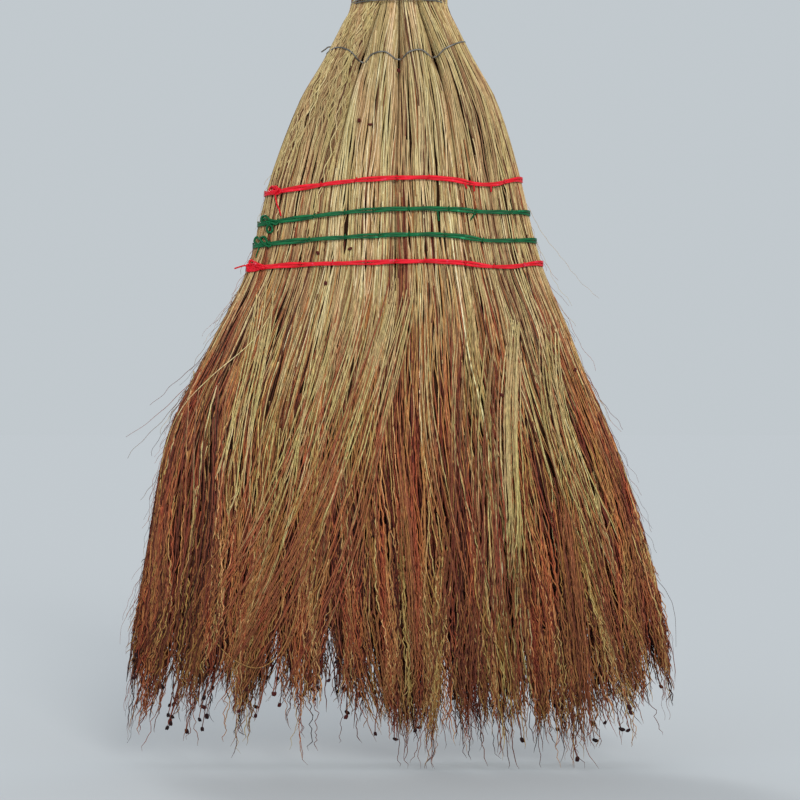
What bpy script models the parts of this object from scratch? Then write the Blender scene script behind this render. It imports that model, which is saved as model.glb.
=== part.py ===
"""Sewn sorghum broom: four bound bundles of stalks that fan out into a flat brush.

Metres, +Z up. The broom stands on the tips of its bristles, with its grip straight up.
X runs across the flat head, the front of the head faces -Y, and the origin is on the floor
under the middle of the broom.
"""

import math
import random

import bmesh
import bpy
from mathutils import Vector

# Heights, each measured up from the one before it
BRISTLE_LENGTH = 0.347
LOWER_RED_TO_GREEN = 0.0183
GREEN_TO_GREEN = 0.0176
GREEN_TO_UPPER_RED = 0.0213
SHOULDER_RISE = 0.0820
NECK_RISE = 0.0400
NECK_BULGE_RISE = 0.0090
NECK_CONE_RISE = 0.0530
GRIP_LENGTH = 0.2520

# Half widths across X and half depths along Y, from the tips up to the end of the grip
TIP_HALF_WIDTH = 0.1975
TIP_HALF_DEPTH = 0.0345
BELLY_HALF_WIDTH = 0.1580
BELLY_HALF_DEPTH = 0.0230
BELLY_BELOW_ROWS = 0.1370
FLARE_HALF_WIDTH = 0.1240
FLARE_HALF_DEPTH = 0.0165
FLARE_BELOW_ROWS = 0.0540
LOWEST_ROW_HALF_WIDTH = 0.1000
LOWEST_ROW_HALF_DEPTH = 0.0135
TOP_ROW_HALF_WIDTH = 0.0860
TOP_ROW_HALF_DEPTH = 0.0140
CHEST_HALF_WIDTH = 0.0670
CHEST_HALF_DEPTH = 0.0165
CHEST_BELOW_SHOULDER = 0.0270
SHOULDER_HALF_WIDTH = 0.0515
SHOULDER_HALF_DEPTH = 0.0175
NECK_HALF_WIDTH = 0.0310
NECK_HALF_DEPTH = 0.0230
NECK_BULGE_HALF_WIDTH = 0.0328
NECK_BULGE_HALF_DEPTH = 0.0245
GRIP_BASE_RADIUS = 0.0215
GRIP_END_RADIUS = 0.0195

# How the head is shared between the four bundles
GRIP_SPLIT = 0.0072
NECK_SPLIT = 0.0112
NECK_BULGE_SPLIT = 0.0116
SHOULDER_SPLIT = 0.0244
CHEST_SPLIT = 0.0325
TOP_ROW_SPLIT = 0.0425
LOWEST_ROW_SPLIT = 0.0497
FLARE_SPLIT = 0.0618
BELLY_SPLIT = 0.0787
TIP_SPLIT = 0.0982
BUNDLE_GAP = 0.0006
SHOULDER_GAP = 0.0040
SHOULDER_GAP_REACH = 0.0080

# The stalks in the middle of the grip, which the four bundles are bound round
CORE_RADIUS = 0.0090
CORE_TIP_RADIUS = 0.0040
CORE_BELOW_NECK = 0.0300
CORE_TAPER = 0.0450

# Wire and twine
WIRE_RADIUS = 0.0007
WIRE_PITCH = 0.0019
WIRE_TURNS = 2
NECK_FLAT_STEPS = 2
NECK_ROUND_STEPS = 10
GRIP_ROUND_STEPS = 12
SCALLOP_STEPS = 8
SCALLOP_RISE = 0.0035
GROOVE_SINK = 0.0012
GRIP_WIRE_INSET = 0.0220
TWINE_RADIUS = 0.0011
TWINE_PITCH = 0.0027
TWINE_TURNS = 2
TWINE_FLAT_STEPS = 5
TWINE_ROUND_STEPS = 7
LACING_RADIUS = 0.0007
LACING_STEP = 0.0060
LACING_ROOM = 0.0012
KNOT_RADIUS = 0.0009
KNOT_EYE_RADIUS = 0.0032
KNOT_EYE_SHIFT = 0.0036
KNOT_RISE = 0.0024
KNOT_TAIL = 0.0075
KNOT_NESTLE = 0.0007
ROW_BOW = 0.0045
ROW_TILT = 0.0025
PIGTAIL_LENGTH = 0.0110
PIGTAIL_SPACING = 0.0020

# The brush under the lowest row
FAN_SLICE_DROP = 0.0130
FAN_SLICE = 0.0070
FAN_ROWS = 4
FAN_EDGE_INSET = 0.0018
INNER_FAN_COLUMNS = 10
OUTER_FAN_COLUMNS = 9
STRAND_BEND_HEIGHT = 0.1750
STRAND_BEND_BOW = 0.0300
STRAND_TIP_BOW = 0.0300
STRAND_TIP_SPREAD = 0.0380
STRAND_FLOOR_CUT = 0.0005
STRAND_BEND_SHARE = 0.58
STRAND_TIP_SHARE = 0.20
STRAND_SEED = 4

CLEARANCE = 0.0003
CHORD_ROOM = 0.0004
LEAST_OWN_GAP = 0.0004
SECTION_POINTS = 20
CORE_SIDES = 24
SMOOTH_ANGLE = math.radians(40)

LOWEST_ROW_Z = BRISTLE_LENGTH
LOWER_GREEN_Z = LOWEST_ROW_Z + LOWER_RED_TO_GREEN
UPPER_GREEN_Z = LOWER_GREEN_Z + GREEN_TO_GREEN
TOP_ROW_Z = UPPER_GREEN_Z + GREEN_TO_UPPER_RED
SHOULDER_Z = TOP_ROW_Z + SHOULDER_RISE
NECK_Z = SHOULDER_Z + NECK_RISE
NECK_BULGE_Z = NECK_Z + NECK_BULGE_RISE
GRIP_BASE_Z = NECK_BULGE_Z + NECK_CONE_RISE
GRIP_END_Z = GRIP_BASE_Z + GRIP_LENGTH
BUNDLE_END_Z = LOWEST_ROW_Z - FAN_SLICE_DROP
NECK_SEAT = WIRE_PITCH * WIRE_TURNS / 2 + 2 * WIRE_RADIUS
TWINE_OFFSET = TWINE_RADIUS + CLEARANCE + CHORD_ROOM

# height, half width, half depth, place of the outer grooves, roundness of the grooves
LEVELS = [
    (0.0, TIP_HALF_WIDTH, TIP_HALF_DEPTH, TIP_SPLIT, 9.0),
    (LOWEST_ROW_Z - BELLY_BELOW_ROWS, BELLY_HALF_WIDTH, BELLY_HALF_DEPTH, BELLY_SPLIT, 9.0),
    (LOWEST_ROW_Z - FLARE_BELOW_ROWS, FLARE_HALF_WIDTH, FLARE_HALF_DEPTH, FLARE_SPLIT, 9.0),
    (LOWEST_ROW_Z, LOWEST_ROW_HALF_WIDTH, LOWEST_ROW_HALF_DEPTH, LOWEST_ROW_SPLIT, 8.0),
    (TOP_ROW_Z, TOP_ROW_HALF_WIDTH, TOP_ROW_HALF_DEPTH, TOP_ROW_SPLIT, 6.0),
    (SHOULDER_Z - CHEST_BELOW_SHOULDER, CHEST_HALF_WIDTH, CHEST_HALF_DEPTH, CHEST_SPLIT, 2.8),
    (SHOULDER_Z, SHOULDER_HALF_WIDTH, SHOULDER_HALF_DEPTH, SHOULDER_SPLIT, 2.2),
    (NECK_Z, NECK_HALF_WIDTH, NECK_HALF_DEPTH, NECK_SPLIT, 3.2),
    (NECK_BULGE_Z, NECK_BULGE_HALF_WIDTH, NECK_BULGE_HALF_DEPTH, NECK_BULGE_SPLIT, 3.6),
    (GRIP_BASE_Z, GRIP_BASE_RADIUS, GRIP_BASE_RADIUS, GRIP_SPLIT, 5.0),
    (GRIP_END_Z, GRIP_END_RADIUS, GRIP_END_RADIUS, GRIP_SPLIT, 6.0),
]

BUNDLES = ("outer_left", "inner_left", "inner_right", "outer_right")
ROWS = {
    "red_lower": LOWEST_ROW_Z,
    "green_lower": LOWER_GREEN_Z,
    "green_upper": UPPER_GREEN_Z,
    "red_upper": TOP_ROW_Z,
}

# colour, roughness, metallic
FINISHES = {
    "stalk": ((0.52, 0.41, 0.20), 0.55, 0.0),
    "core": ((0.48, 0.36, 0.17), 0.60, 0.0),
    "bristle": ((0.25, 0.11, 0.05), 0.65, 0.0),
    "wire": ((0.26, 0.26, 0.26), 0.35, 1.0),
    "red": ((0.80, 0.02, 0.05), 0.40, 0.0),
    "green": ((0.00, 0.20, 0.07), 0.40, 0.0),
}


def at_height(z, column):
    """The value in that column of LEVELS at height z, on a cubic that keeps to the trend of its neighbours."""
    heights = [level[0] for level in LEVELS]
    values = [level[column] for level in LEVELS]
    steps = [(values[i + 1] - values[i]) / (heights[i + 1] - heights[i]) for i in range(len(LEVELS) - 1)]
    slopes = [steps[0], *[harmonic(a, b) for a, b in zip(steps, steps[1:])], steps[-1]]
    z = min(max(z, heights[0]), heights[-1])
    i = min(sum(z >= h for h in heights) - 1, len(steps) - 1)
    span = heights[i + 1] - heights[i]
    t = (z - heights[i]) / span
    start = (1 + 2 * t) * (1 - t) ** 2 * values[i] + t * (1 - t) ** 2 * span * slopes[i]
    end = t * t * (3 - 2 * t) * values[i + 1] - t * t * (1 - t) * span * slopes[i + 1]
    return start + end


def harmonic(a, b):
    """The mean slope at a station, which is flat where the outline turns back, so that it never overshoots."""
    return 0.0 if a * b <= 0 else 2 * a * b / (a + b)


def half_width(z):
    return at_height(z, 1)


def half_depth(z):
    return min(at_height(z, 2), half_width(z))


def groove_power(z):
    return at_height(z, 4)


def surface_depth(x, z):
    """How far the head's outer surface stands from its middle plane: flat faces with half-round edges."""
    width, depth = half_width(z), half_depth(z)
    past_flat = max(0.0, abs(x) - (width - depth)) / depth
    return depth * math.sqrt(max(0.0, 1 - past_flat**2))


def groove_width(z):
    """The space between two bundles, which the shoulder wire opens where it passes through."""
    opened = math.exp(-(((z - SHOULDER_Z) / SHOULDER_GAP_REACH) ** 2))
    return BUNDLE_GAP + (SHOULDER_GAP - BUNDLE_GAP) * opened


def groove_places(z):
    """The x of the three grooves at height z."""
    split = at_height(z, 3)
    return [-split, 0.0, split]


def bundle_edges(index, z):
    """The left and right limit of a bundle at height z."""
    lines = [-half_width(z), *groove_places(z), half_width(z)]
    half_gap = groove_width(z) / 2
    left = lines[index] + (half_gap if index > 0 else 0.0)
    right = lines[index + 1] - (half_gap if index < len(BUNDLES) - 1 else 0.0)
    return left, right


def rounded(share, power):
    """How far a bundle's face has fallen back at this share of its half width, 1 in the middle and 0 at its edge."""
    return max(0.0, 1 - abs(share) ** power) ** (1 / power)


def bundle_depth(index, share, z):
    """Half the depth of a bundle at a share of its half width from -1 to 1. Its sides in the grooves are rounded."""
    left, right = bundle_edges(index, z)
    x = (left + right) / 2 + share * (right - left) / 2
    in_groove = (share < 0 and index > 0) or (share > 0 and index < len(BUNDLES) - 1)
    return x, surface_depth(x, z) * (rounded(share, groove_power(z)) if in_groove else 1.0)


def bundle_section(index, z):
    """The outline of a bundle at height z, as a ring of points."""
    ring = []
    for k in range(SECTION_POINTS):
        angle = 2 * math.pi * k / SECTION_POINTS
        x, depth = bundle_depth(index, math.cos(angle), z)
        side = math.sin(angle)
        ring.append(Vector((x, math.copysign(depth, side) if abs(side) > 1e-6 else 0.0, z)))
    return ring


def row_height(row_z, x):
    """The height of a stitch row at x: it hangs lower towards its ends, and more on the left."""
    share = x / half_width(row_z)
    return row_z - ROW_BOW * share**2 + ROW_TILT * share


def material(name):
    """The Principled material of that finish, made once."""
    if name in bpy.data.materials:
        return bpy.data.materials[name]
    colour, roughness, metallic = FINISHES[name]
    made = bpy.data.materials.new(name)
    made.use_nodes = True
    shader = made.node_tree.nodes["Principled BSDF"]
    shader.inputs["Base Color"].default_value = (*colour, 1.0)
    shader.inputs["Roughness"].default_value = roughness
    shader.inputs["Metallic"].default_value = metallic
    made.diffuse_color = (*colour, 1.0)
    return made


def mesh_object(name, shape, finish, parent):
    """Puts a finished bmesh into the scene as a smooth-shaded object."""
    bmesh.ops.recalc_face_normals(shape, faces=shape.faces[:])
    mesh = bpy.data.meshes.new(name)
    shape.to_mesh(mesh)
    shape.free()
    mesh.shade_smooth()
    mesh.set_sharp_from_angle(angle=SMOOTH_ANGLE)
    made = bpy.data.objects.new(name, mesh)
    bpy.context.scene.collection.objects.link(made)
    mesh.materials.append(material(finish))
    made.parent = parent
    return made


def loft(rings):
    """A closed bmesh through rings of equal count, with flat ends."""
    shape = bmesh.new()
    rows = [[shape.verts.new(point) for point in ring] for ring in rings]
    for low, high in zip(rows, rows[1:]):
        for k in range(len(low)):
            after = (k + 1) % len(low)
            shape.faces.new((low[k], low[after], high[after], high[k]))
    shape.faces.new(rows[0])
    shape.faces.new(rows[-1])
    return shape


def tube(name, points, radius, finish, parent):
    """A round wire or twine of six sides along the points, with filled ends."""
    curve = bpy.data.curves.new(name, "CURVE")
    curve.dimensions = "3D"
    curve.bevel_depth = radius
    curve.bevel_resolution = 1
    curve.use_fill_caps = True
    line = curve.splines.new("POLY")
    line.points.add(len(points) - 1)
    for place, point in zip(line.points, points):
        place.co = (*point, 1.0)
    line.use_smooth = True
    made = bpy.data.objects.new(name, curve)
    bpy.context.scene.collection.objects.link(made)
    curve.materials.append(material(finish))
    made.parent = parent
    return made


def print_own_gap(name, points, radius):
    """Measures the least gap of a winding to itself, between points over a quarter turn apart, and prints it."""
    apart = GRIP_ROUND_STEPS // 2
    least = min(
        (points[i] - points[j]).length - 2 * radius
        for i in range(len(points))
        for j in range(i + apart, len(points))
    )
    verdict = "clear" if least > LEAST_OWN_GAP else "TOO CLOSE"
    print(f"{name}: least gap to itself {least * 1000:.2f} mm, {verdict}")


def grid_heights():
    """The heights of a bundle's sections: closer where its outline turns, wider along the grip."""
    stops = [
        (BUNDLE_END_Z, TOP_ROW_Z, 5),
        (TOP_ROW_Z, SHOULDER_Z - SHOULDER_GAP_REACH, 5),
        (SHOULDER_Z - SHOULDER_GAP_REACH, SHOULDER_Z + SHOULDER_GAP_REACH, 4),
        (SHOULDER_Z + SHOULDER_GAP_REACH, NECK_Z - NECK_SEAT, 2),
        (NECK_Z - NECK_SEAT, NECK_Z + NECK_SEAT, 2),
        (NECK_Z + NECK_SEAT, NECK_BULGE_Z, 1),
        (NECK_BULGE_Z, GRIP_BASE_Z, 3),
        (GRIP_BASE_Z, GRIP_END_Z, 3),
    ]
    heights = [low + (high - low) * k / count for low, high, count in stops for k in range(count)]
    return [*heights, GRIP_END_Z]


def core_rings(clearance):
    """Rings of the core stalks, or of the hole for them where there is a clearance."""
    low = NECK_Z - CORE_BELOW_NECK - clearance
    profile = [
        (CORE_TIP_RADIUS + clearance, low),
        (CORE_RADIUS + clearance, low + CORE_TAPER),
        (CORE_RADIUS + clearance, GRIP_END_Z + 10 * clearance),
    ]
    turns = [2 * math.pi * k / CORE_SIDES for k in range(CORE_SIDES)]
    return [[Vector((r * math.cos(t), r * math.sin(t), z)) for t in turns] for r, z in profile]


def core_stalks(parent):
    return mesh_object("core_stalks", loft(core_rings(0.0)), "core", parent)


def helper(made):
    """Leaves a cutter out of the model."""
    made.hide_render = True
    made.display_type = "WIRE"
    return made


def core_cutter(parent):
    return helper(mesh_object("core_hole_cutter", loft(core_rings(CLEARANCE)), "core", parent))


def lacing_height(row_z, x, above):
    """Where the lacing passes through the head, just clear of the twine that it holds."""
    clear = TWINE_PITCH / 2 + TWINE_RADIUS + CLEARANCE + LACING_RADIUS + LACING_ROOM
    return row_height(row_z, x) + (clear if above else -clear)


def lacing_holes(row_z):
    """The x and z of the three places where a row's lacing passes through the head."""
    return [
        (x, lacing_height(row_z, x, above))
        for x, above in zip(groove_places(row_z), (True, False, True))
    ]


def channel_cutter(parent):
    """Round channels through the head, one where each lacing passes between two bundles."""
    shape = bmesh.new()
    reach = 2 * max(TOP_ROW_HALF_DEPTH, LOWEST_ROW_HALF_DEPTH)
    radius = LACING_RADIUS + 1.5 * CLEARANCE
    for row_z in ROWS.values():
        for x, z in lacing_holes(row_z):
            rings = [
                [
                    shape.verts.new((x + radius * math.cos(a), y, z + radius * math.sin(a)))
                    for a in (2 * math.pi * k / 8 for k in range(8))
                ]
                for y in (-reach, reach)
            ]
            for k in range(8):
                after = (k + 1) % 8
                shape.faces.new((rings[0][k], rings[0][after], rings[1][after], rings[1][k]))
            shape.faces.new(rings[0])
            shape.faces.new(rings[1])
    return helper(mesh_object("lacing_channel_cutter", shape, "stalk", parent))


def hurl_bundle(index, cutters, parent):
    """One of the four bundles of stalks, from the end of the grip to under the lowest stitch row."""
    rings = [bundle_section(index, z) for z in grid_heights()]
    made = mesh_object(f"hurl_bundle_{BUNDLES[index]}", loft(rings), "stalk", parent)
    for cutter in cutters:
        cut = made.modifiers.new(cutter.name, "BOOLEAN")
        cut.operation = "DIFFERENCE"
        cut.solver = "EXACT"
        cut.object = cutter
    return made


def strand_level(centre, offsets, base_z, z, share):
    """Where a strand's three corners are at height z: it keeps its place in the head as the head spreads."""
    x = centre.x * half_width(z) / half_width(base_z)
    y = centre.y * half_depth(z) / half_depth(base_z)
    return [Vector((x + offset.x * share, y + offset.y * share, z)) for offset in offsets]


def bristle_fan(index, parent):
    """A bundle's brush: a slice of the bundle whose underside runs out into tapering three-sided strands."""
    columns = OUTER_FAN_COLUMNS if index in (0, len(BUNDLES) - 1) else INNER_FAN_COLUMNS
    top_z = BUNDLE_END_Z - CLEARANCE
    base_z = top_z - FAN_SLICE
    chance = random.Random(STRAND_SEED + index)
    shape = bmesh.new()

    def grid(z):
        left, right = bundle_edges(index, z)
        places = [left + (right - left) * k / columns for k in range(columns + 1)]
        if index == 0:
            places[0] += FAN_EDGE_INSET
        if index == len(BUNDLES) - 1:
            places[-1] -= FAN_EDGE_INSET
        return [
            [Vector((x, surface_depth(x, z) * (2 * j / FAN_ROWS - 1), z)) for j in range(FAN_ROWS + 1)]
            for x in places
        ]

    base = [[shape.verts.new(point) for point in column] for column in grid(base_z)]
    edge = [(i, 0) for i in range(columns)] + [(columns, j) for j in range(FAN_ROWS)]
    edge += [(i, FAN_ROWS) for i in range(columns, 0, -1)] + [(0, j) for j in range(FAN_ROWS, 0, -1)]
    top_grid = grid(top_z)
    rim = [shape.verts.new(top_grid[i][j]) for i, j in edge]
    shape.faces.new(rim)
    for k, (i, j) in enumerate(edge):
        after_i, after_j = edge[(k + 1) % len(edge)]
        shape.faces.new((rim[k], rim[(k + 1) % len(rim)], base[after_i][after_j], base[i][j]))

    for i in range(columns):
        for j in range(FAN_ROWS):
            corners = base[i][j], base[i + 1][j], base[i + 1][j + 1], base[i][j + 1]
            if (i + j) % 2:
                cells = (corners[0], corners[1], corners[2]), (corners[0], corners[2], corners[3])
            else:
                cells = (corners[0], corners[1], corners[3]), (corners[1], corners[2], corners[3])
            for cell in cells:
                strand(shape, cell, base_z, chance)
    return mesh_object(f"bristle_fan_{BUNDLES[index]}", shape, "bristle", parent)


def strand(shape, cell, base_z, chance):
    """One strand, from a triangle of the slice's underside to its flat tip, with one bend."""
    centre = sum((corner.co for corner in cell), Vector()) / 3
    offsets = [corner.co - centre for corner in cell]
    share = centre.x / half_width(base_z)
    bend_z = STRAND_BEND_HEIGHT + STRAND_BEND_BOW * share**2
    tip_z = STRAND_TIP_BOW * share**2 + STRAND_TIP_SPREAD * chance.random() ** 1.5 - STRAND_FLOOR_CUT
    levels = [
        strand_level(centre, offsets, base_z, bend_z, STRAND_BEND_SHARE),
        strand_level(centre, offsets, base_z, max(0.0, tip_z), STRAND_TIP_SHARE),
    ]
    above = list(cell)
    for level in levels:
        below = [shape.verts.new(point) for point in level]
        for k in range(3):
            after = (k + 1) % 3
            shape.faces.new((above[k], above[after], below[after], below[k]))
        above = below
    shape.faces.new(above)


def belt_point(side, share, z, offset):
    """A point standing out from the head's surface by the offset, at a share of the way along that side:
    the flat front to the right, the half-round right edge, the flat back, the half-round left edge."""
    flat = half_width(z) - half_depth(z)
    reach = half_depth(z) + offset
    if side in ("front", "back"):
        forward = -1 if side == "front" else 1
        return Vector((-forward * flat * (2 * share - 1), forward * reach, z))
    angle = math.pi * (share - 0.5)
    outward = 1 if side == "right" else -1
    return Vector((outward * (flat + reach * math.cos(angle)), outward * reach * math.sin(angle), z))


def belt(height_of, offset, turns, flat_steps, round_steps):
    """Turns round the head from its front left. height_of gives a point's height from how many turns
    lie behind it and from its place across the head, -1 at the left edge and 1 at the right."""
    sides = [("front", flat_steps), ("right", round_steps), ("back", flat_steps), ("left", round_steps)]
    stops = [(side, k / steps) for side, steps in sides for k in range(steps)]
    across = {"front": lambda s: 2 * s - 1, "right": lambda s: 1, "back": lambda s: 1 - 2 * s, "left": lambda s: -1}
    points = []
    for k in range(turns * len(stops) + 1):
        side, share = stops[k % len(stops)]
        points.append(belt_point(side, share, height_of(k / len(stops), across[side](share)), offset))
    return points


def twine_row(colour_name, row_z, parent):
    """Two turns of twine round the head, the second under the first. They change level on the left edge."""
    left_start = 1 - TWINE_ROUND_STEPS / (2 * (TWINE_FLAT_STEPS + TWINE_ROUND_STEPS))

    def height_of(turn, share):
        whole = math.floor(turn)
        on_left = max(0.0, (turn - whole - left_start) / (1 - left_start))
        level = (TWINE_TURNS - 1) / 2 - whole - on_left
        return row_height(row_z, share * half_width(row_z)) + TWINE_PITCH * level

    points = belt(height_of, TWINE_OFFSET, TWINE_TURNS, TWINE_FLAT_STEPS, TWINE_ROUND_STEPS)[:-1]
    name = f"twine_{colour_name}"
    print_own_gap(name, points, TWINE_RADIUS)
    return tube(name, points, TWINE_RADIUS, colour_name.split("_")[0], parent)


def wire_winding(name, middle_z, flat_steps, round_steps, parent):
    """A few turns of wire round the neck or the grip, climbing evenly."""

    def height_of(turn, share):
        return middle_z + WIRE_PITCH * (turn - WIRE_TURNS / 2)

    offset = WIRE_RADIUS + CLEARANCE + CHORD_ROOM
    points = belt(height_of, offset, WIRE_TURNS, flat_steps, round_steps)
    print_own_gap(name, points, WIRE_RADIUS)
    return tube(name, points, WIRE_RADIUS, "wire", parent)


def shoulder_scallop(index, side):
    """The wire over the front (-1) or back (1) of one bundle, dipping into the grooves beside it."""
    offset = WIRE_RADIUS + CLEARANCE + CHORD_ROOM
    points = []
    for k in range(SCALLOP_STEPS + 1):
        angle = math.pi * k / SCALLOP_STEPS
        share = -math.cos(angle)
        lift = math.sin(angle)
        z = SHOULDER_Z + SCALLOP_RISE * (lift - 0.5)
        left, right = bundle_edges(index, z)
        x = (left + right) / 2 + share * ((right - left) / 2 + offset)
        _, depth = bundle_depth(index, share, z)
        points.append(Vector((x, side * (depth + offset * lift + GROOVE_SINK * (1 - lift)), z)))
    return points


def shoulder_wire(parent):
    """One wire round the four bundles: over each of them in front, round the right edge, over each of them
    behind, with its two ends side by side at the left edge. Both runs dip into every groove."""
    front = [shoulder_scallop(i, -1) for i in range(len(BUNDLES))]
    back = [shoulder_scallop(i, 1) for i in range(len(BUNDLES))]
    spread = Vector((0, PIGTAIL_SPACING / 2, 0))
    run = []
    for scallops, ordered in ((front, False), (back, True)):
        line = []
        for i, scallop in enumerate(scallops):
            line += scallop[1:-1]
            if i < len(scallops) - 1:
                middle = (scallop[-1] + scallops[i + 1][0]) / 2
                line.append(middle)
        run.append(line[::-1] if ordered else line)
    right_edge = (front[-1][-1] + back[-1][-1]) / 2
    left_edge = (front[0][0] + back[0][0]) / 2
    tail = Vector((-0.8 * PIGTAIL_LENGTH, 0, -0.6 * PIGTAIL_LENGTH))
    points = [left_edge + tail - spread, left_edge - spread, *run[0], right_edge]
    points += [*run[1], left_edge + spread, left_edge + tail + spread]
    return tube("shoulder_wire", points, WIRE_RADIUS, "wire", parent)


def knot(colour_name, row_z, sideways, parent):
    """The knot at a row's left end: two eyes laid over each other and a short tail."""
    z = row_height(row_z, -half_width(row_z))
    width, depth = half_width(z), half_depth(z)
    lean = math.radians(40)
    out = Vector((-math.sin(lean), -math.cos(lean), 0))
    along = Vector((-math.cos(lean), math.sin(lean), 0))
    up = Vector((0, 0, 1))
    stand_off = TWINE_OFFSET + TWINE_RADIUS + CLEARANCE + KNOT_RADIUS - KNOT_NESTLE
    seat = Vector((-(width - depth), 0, z - TWINE_PITCH / 2)) + out * (depth + stand_off)
    eye_points, eyes = 10, 2
    points = []
    for k in range(eye_points * eyes + 1):
        angle = 2 * math.pi * k / eye_points + math.pi / 2
        turn = k / eye_points
        middle = seat + along * (KNOT_EYE_SHIFT * (turn - 1)) + out * (KNOT_RISE * turn)
        ring = along * math.cos(angle) + up * math.sin(angle)
        points.append(middle + ring * KNOT_EYE_RADIUS)
    last = points[-1]
    if sideways:
        points += [last + along * KNOT_TAIL * 0.5 + out * 0.001, last + along * 2 * KNOT_TAIL]
    else:
        away = last + along * KNOT_EYE_RADIUS * 0.9 + out * 0.0012
        points += [away, away - up * KNOT_TAIL * 0.6, away - up * (KNOT_TAIL + KNOT_EYE_RADIUS)]
    return tube(f"knot_{colour_name}", points, KNOT_RADIUS, colour_name.split("_")[0], parent)


def lacing(colour_name, row_z, parent):
    """The thread that sews a row down: through the head in each groove, and over the twine between them."""
    depth = half_depth(row_z)
    close = depth + LACING_RADIUS + CLEARANCE
    over = depth + TWINE_OFFSET + TWINE_RADIUS + CLEARANCE + LACING_RADIUS
    reach = TWINE_PITCH / 2 + LACING_ROOM
    first, second, third = lacing_holes(row_z)

    def place(x, y, above):
        return Vector((x, y, lacing_height(row_z, x, above)))

    def crossing(x, side, upwards):
        start, end = (-1, 1) if upwards else (1, -1)
        return [
            *[
                Vector((x + share * LACING_STEP, side * over, row_height(row_z, x) + sign * reach))
                for share, sign in ((0.3, start), (0.7, end))
            ],
            place(x + LACING_STEP, side * close, upwards),
        ]

    points = [place(first[0] - LACING_STEP, -close, True), place(first[0], -close, True)]
    points += [place(first[0], close, True), *crossing(first[0], 1, False)]
    points += [place(second[0], close, False), place(second[0], -close, False)]
    points += crossing(second[0], -1, True)
    points += [place(third[0], -close, True), place(third[0], close, True)]
    points += crossing(third[0], 1, False)
    return tube(f"lacing_{colour_name}", points, LACING_RADIUS, colour_name.split("_")[0], parent)


def build():
    for old in list(bpy.data.objects):
        bpy.data.objects.remove(old, do_unlink=True)
    broom = bpy.data.objects.new("broom", None)
    bpy.context.scene.collection.objects.link(broom)

    core_stalks(broom)
    cutters = [core_cutter(broom), channel_cutter(broom)]
    for index in range(len(BUNDLES)):
        hurl_bundle(index, cutters, broom)
        bristle_fan(index, broom)

    grip_middle = (GRIP_BASE_Z + GRIP_END_Z) / 2
    wire_winding("neck_wire", NECK_Z, NECK_FLAT_STEPS, NECK_ROUND_STEPS, broom)
    wire_winding("grip_wire_lower", GRIP_BASE_Z + GRIP_WIRE_INSET, 0, GRIP_ROUND_STEPS, broom)
    wire_winding("grip_wire_middle", grip_middle, 0, GRIP_ROUND_STEPS, broom)
    wire_winding("grip_wire_upper", GRIP_END_Z - GRIP_WIRE_INSET, 0, GRIP_ROUND_STEPS, broom)
    shoulder_wire(broom)

    for name, row_z in ROWS.items():
        twine_row(name, row_z, broom)
        knot(name, row_z, row_z == LOWEST_ROW_Z, broom)
        lacing(name, row_z, broom)


build()
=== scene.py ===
"""Looks of the sewn sorghum broom: straws, fine fibres, cut stalks, twine, wire and their finishes.

Metres, +Z up along the grip, X across the flat head, the front of the head towards -Y.
A strand is a closed tube along a path. All the strands of a piece are worked out as whole arrays,
with strands along the first axis, points along each path on the second, and x, y, z last.
"""

import math

import bpy
import numpy as np
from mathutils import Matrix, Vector


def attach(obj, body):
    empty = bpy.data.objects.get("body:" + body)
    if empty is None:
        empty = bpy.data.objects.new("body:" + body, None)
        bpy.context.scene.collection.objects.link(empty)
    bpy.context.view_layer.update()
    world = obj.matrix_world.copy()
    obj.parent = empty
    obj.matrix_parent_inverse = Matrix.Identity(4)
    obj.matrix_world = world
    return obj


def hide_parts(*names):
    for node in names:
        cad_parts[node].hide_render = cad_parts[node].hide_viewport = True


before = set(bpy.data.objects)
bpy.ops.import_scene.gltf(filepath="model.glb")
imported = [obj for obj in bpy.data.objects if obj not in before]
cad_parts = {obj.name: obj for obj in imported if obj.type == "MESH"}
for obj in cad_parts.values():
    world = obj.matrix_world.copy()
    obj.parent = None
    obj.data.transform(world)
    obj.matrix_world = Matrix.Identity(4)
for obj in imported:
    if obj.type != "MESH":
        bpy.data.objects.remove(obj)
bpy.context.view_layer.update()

# The outline of the head: height, half width, half depth, place of the outer grooves, groove roundness
TIPS = (0.0, 0.1975, 0.0300, 0.0982, 9.0)
BELLY = (0.2100, 0.1580, 0.0230, 0.0787, 9.0)
FLARE = (0.2930, 0.1240, 0.0165, 0.0618, 9.0)
LOWEST_ROW = (0.3470, 0.1000, 0.0135, 0.0497, 10.0)
TOP_ROW = (0.4042, 0.0860, 0.0140, 0.0425, 9.0)
CHEST = (0.4592, 0.0670, 0.0165, 0.0325, 6.0)
SHOULDER = (0.4862, 0.0515, 0.0180, 0.0244, 4.4)
UNDER_NECK = (0.5120, 0.0382, 0.0208, 0.0160, 4.6)
NECK = (0.5262, 0.0310, 0.0230, 0.0112, 4.8)
NECK_BULGE = (0.5352, 0.0328, 0.0245, 0.0116, 4.8)
GRIP_BASE = (0.5882, 0.0215, 0.0215, 0.0072, 5.0)
GRIP_END = (0.8402, 0.0195, 0.0195, 0.0072, 6.0)
STATIONS = np.array(
    [TIPS, BELLY, FLARE, LOWEST_ROW, TOP_ROW, CHEST]
    + [SHOULDER, UNDER_NECK, NECK, NECK_BULGE, GRIP_BASE, GRIP_END]
)
WIDTH, DEPTH, GROOVE, ROUNDNESS = range(1, 5)
NECK_Z = NECK[0]
TOP_Z = GRIP_END[0]
BUNDLES = ("outer_left", "inner_left", "inner_right", "outer_right")
NECK_WIRE_Z = 0.5254
GRIP_WIRES = {"lower": 0.6102, "middle": 0.7142, "upper": 0.8182}

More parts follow.
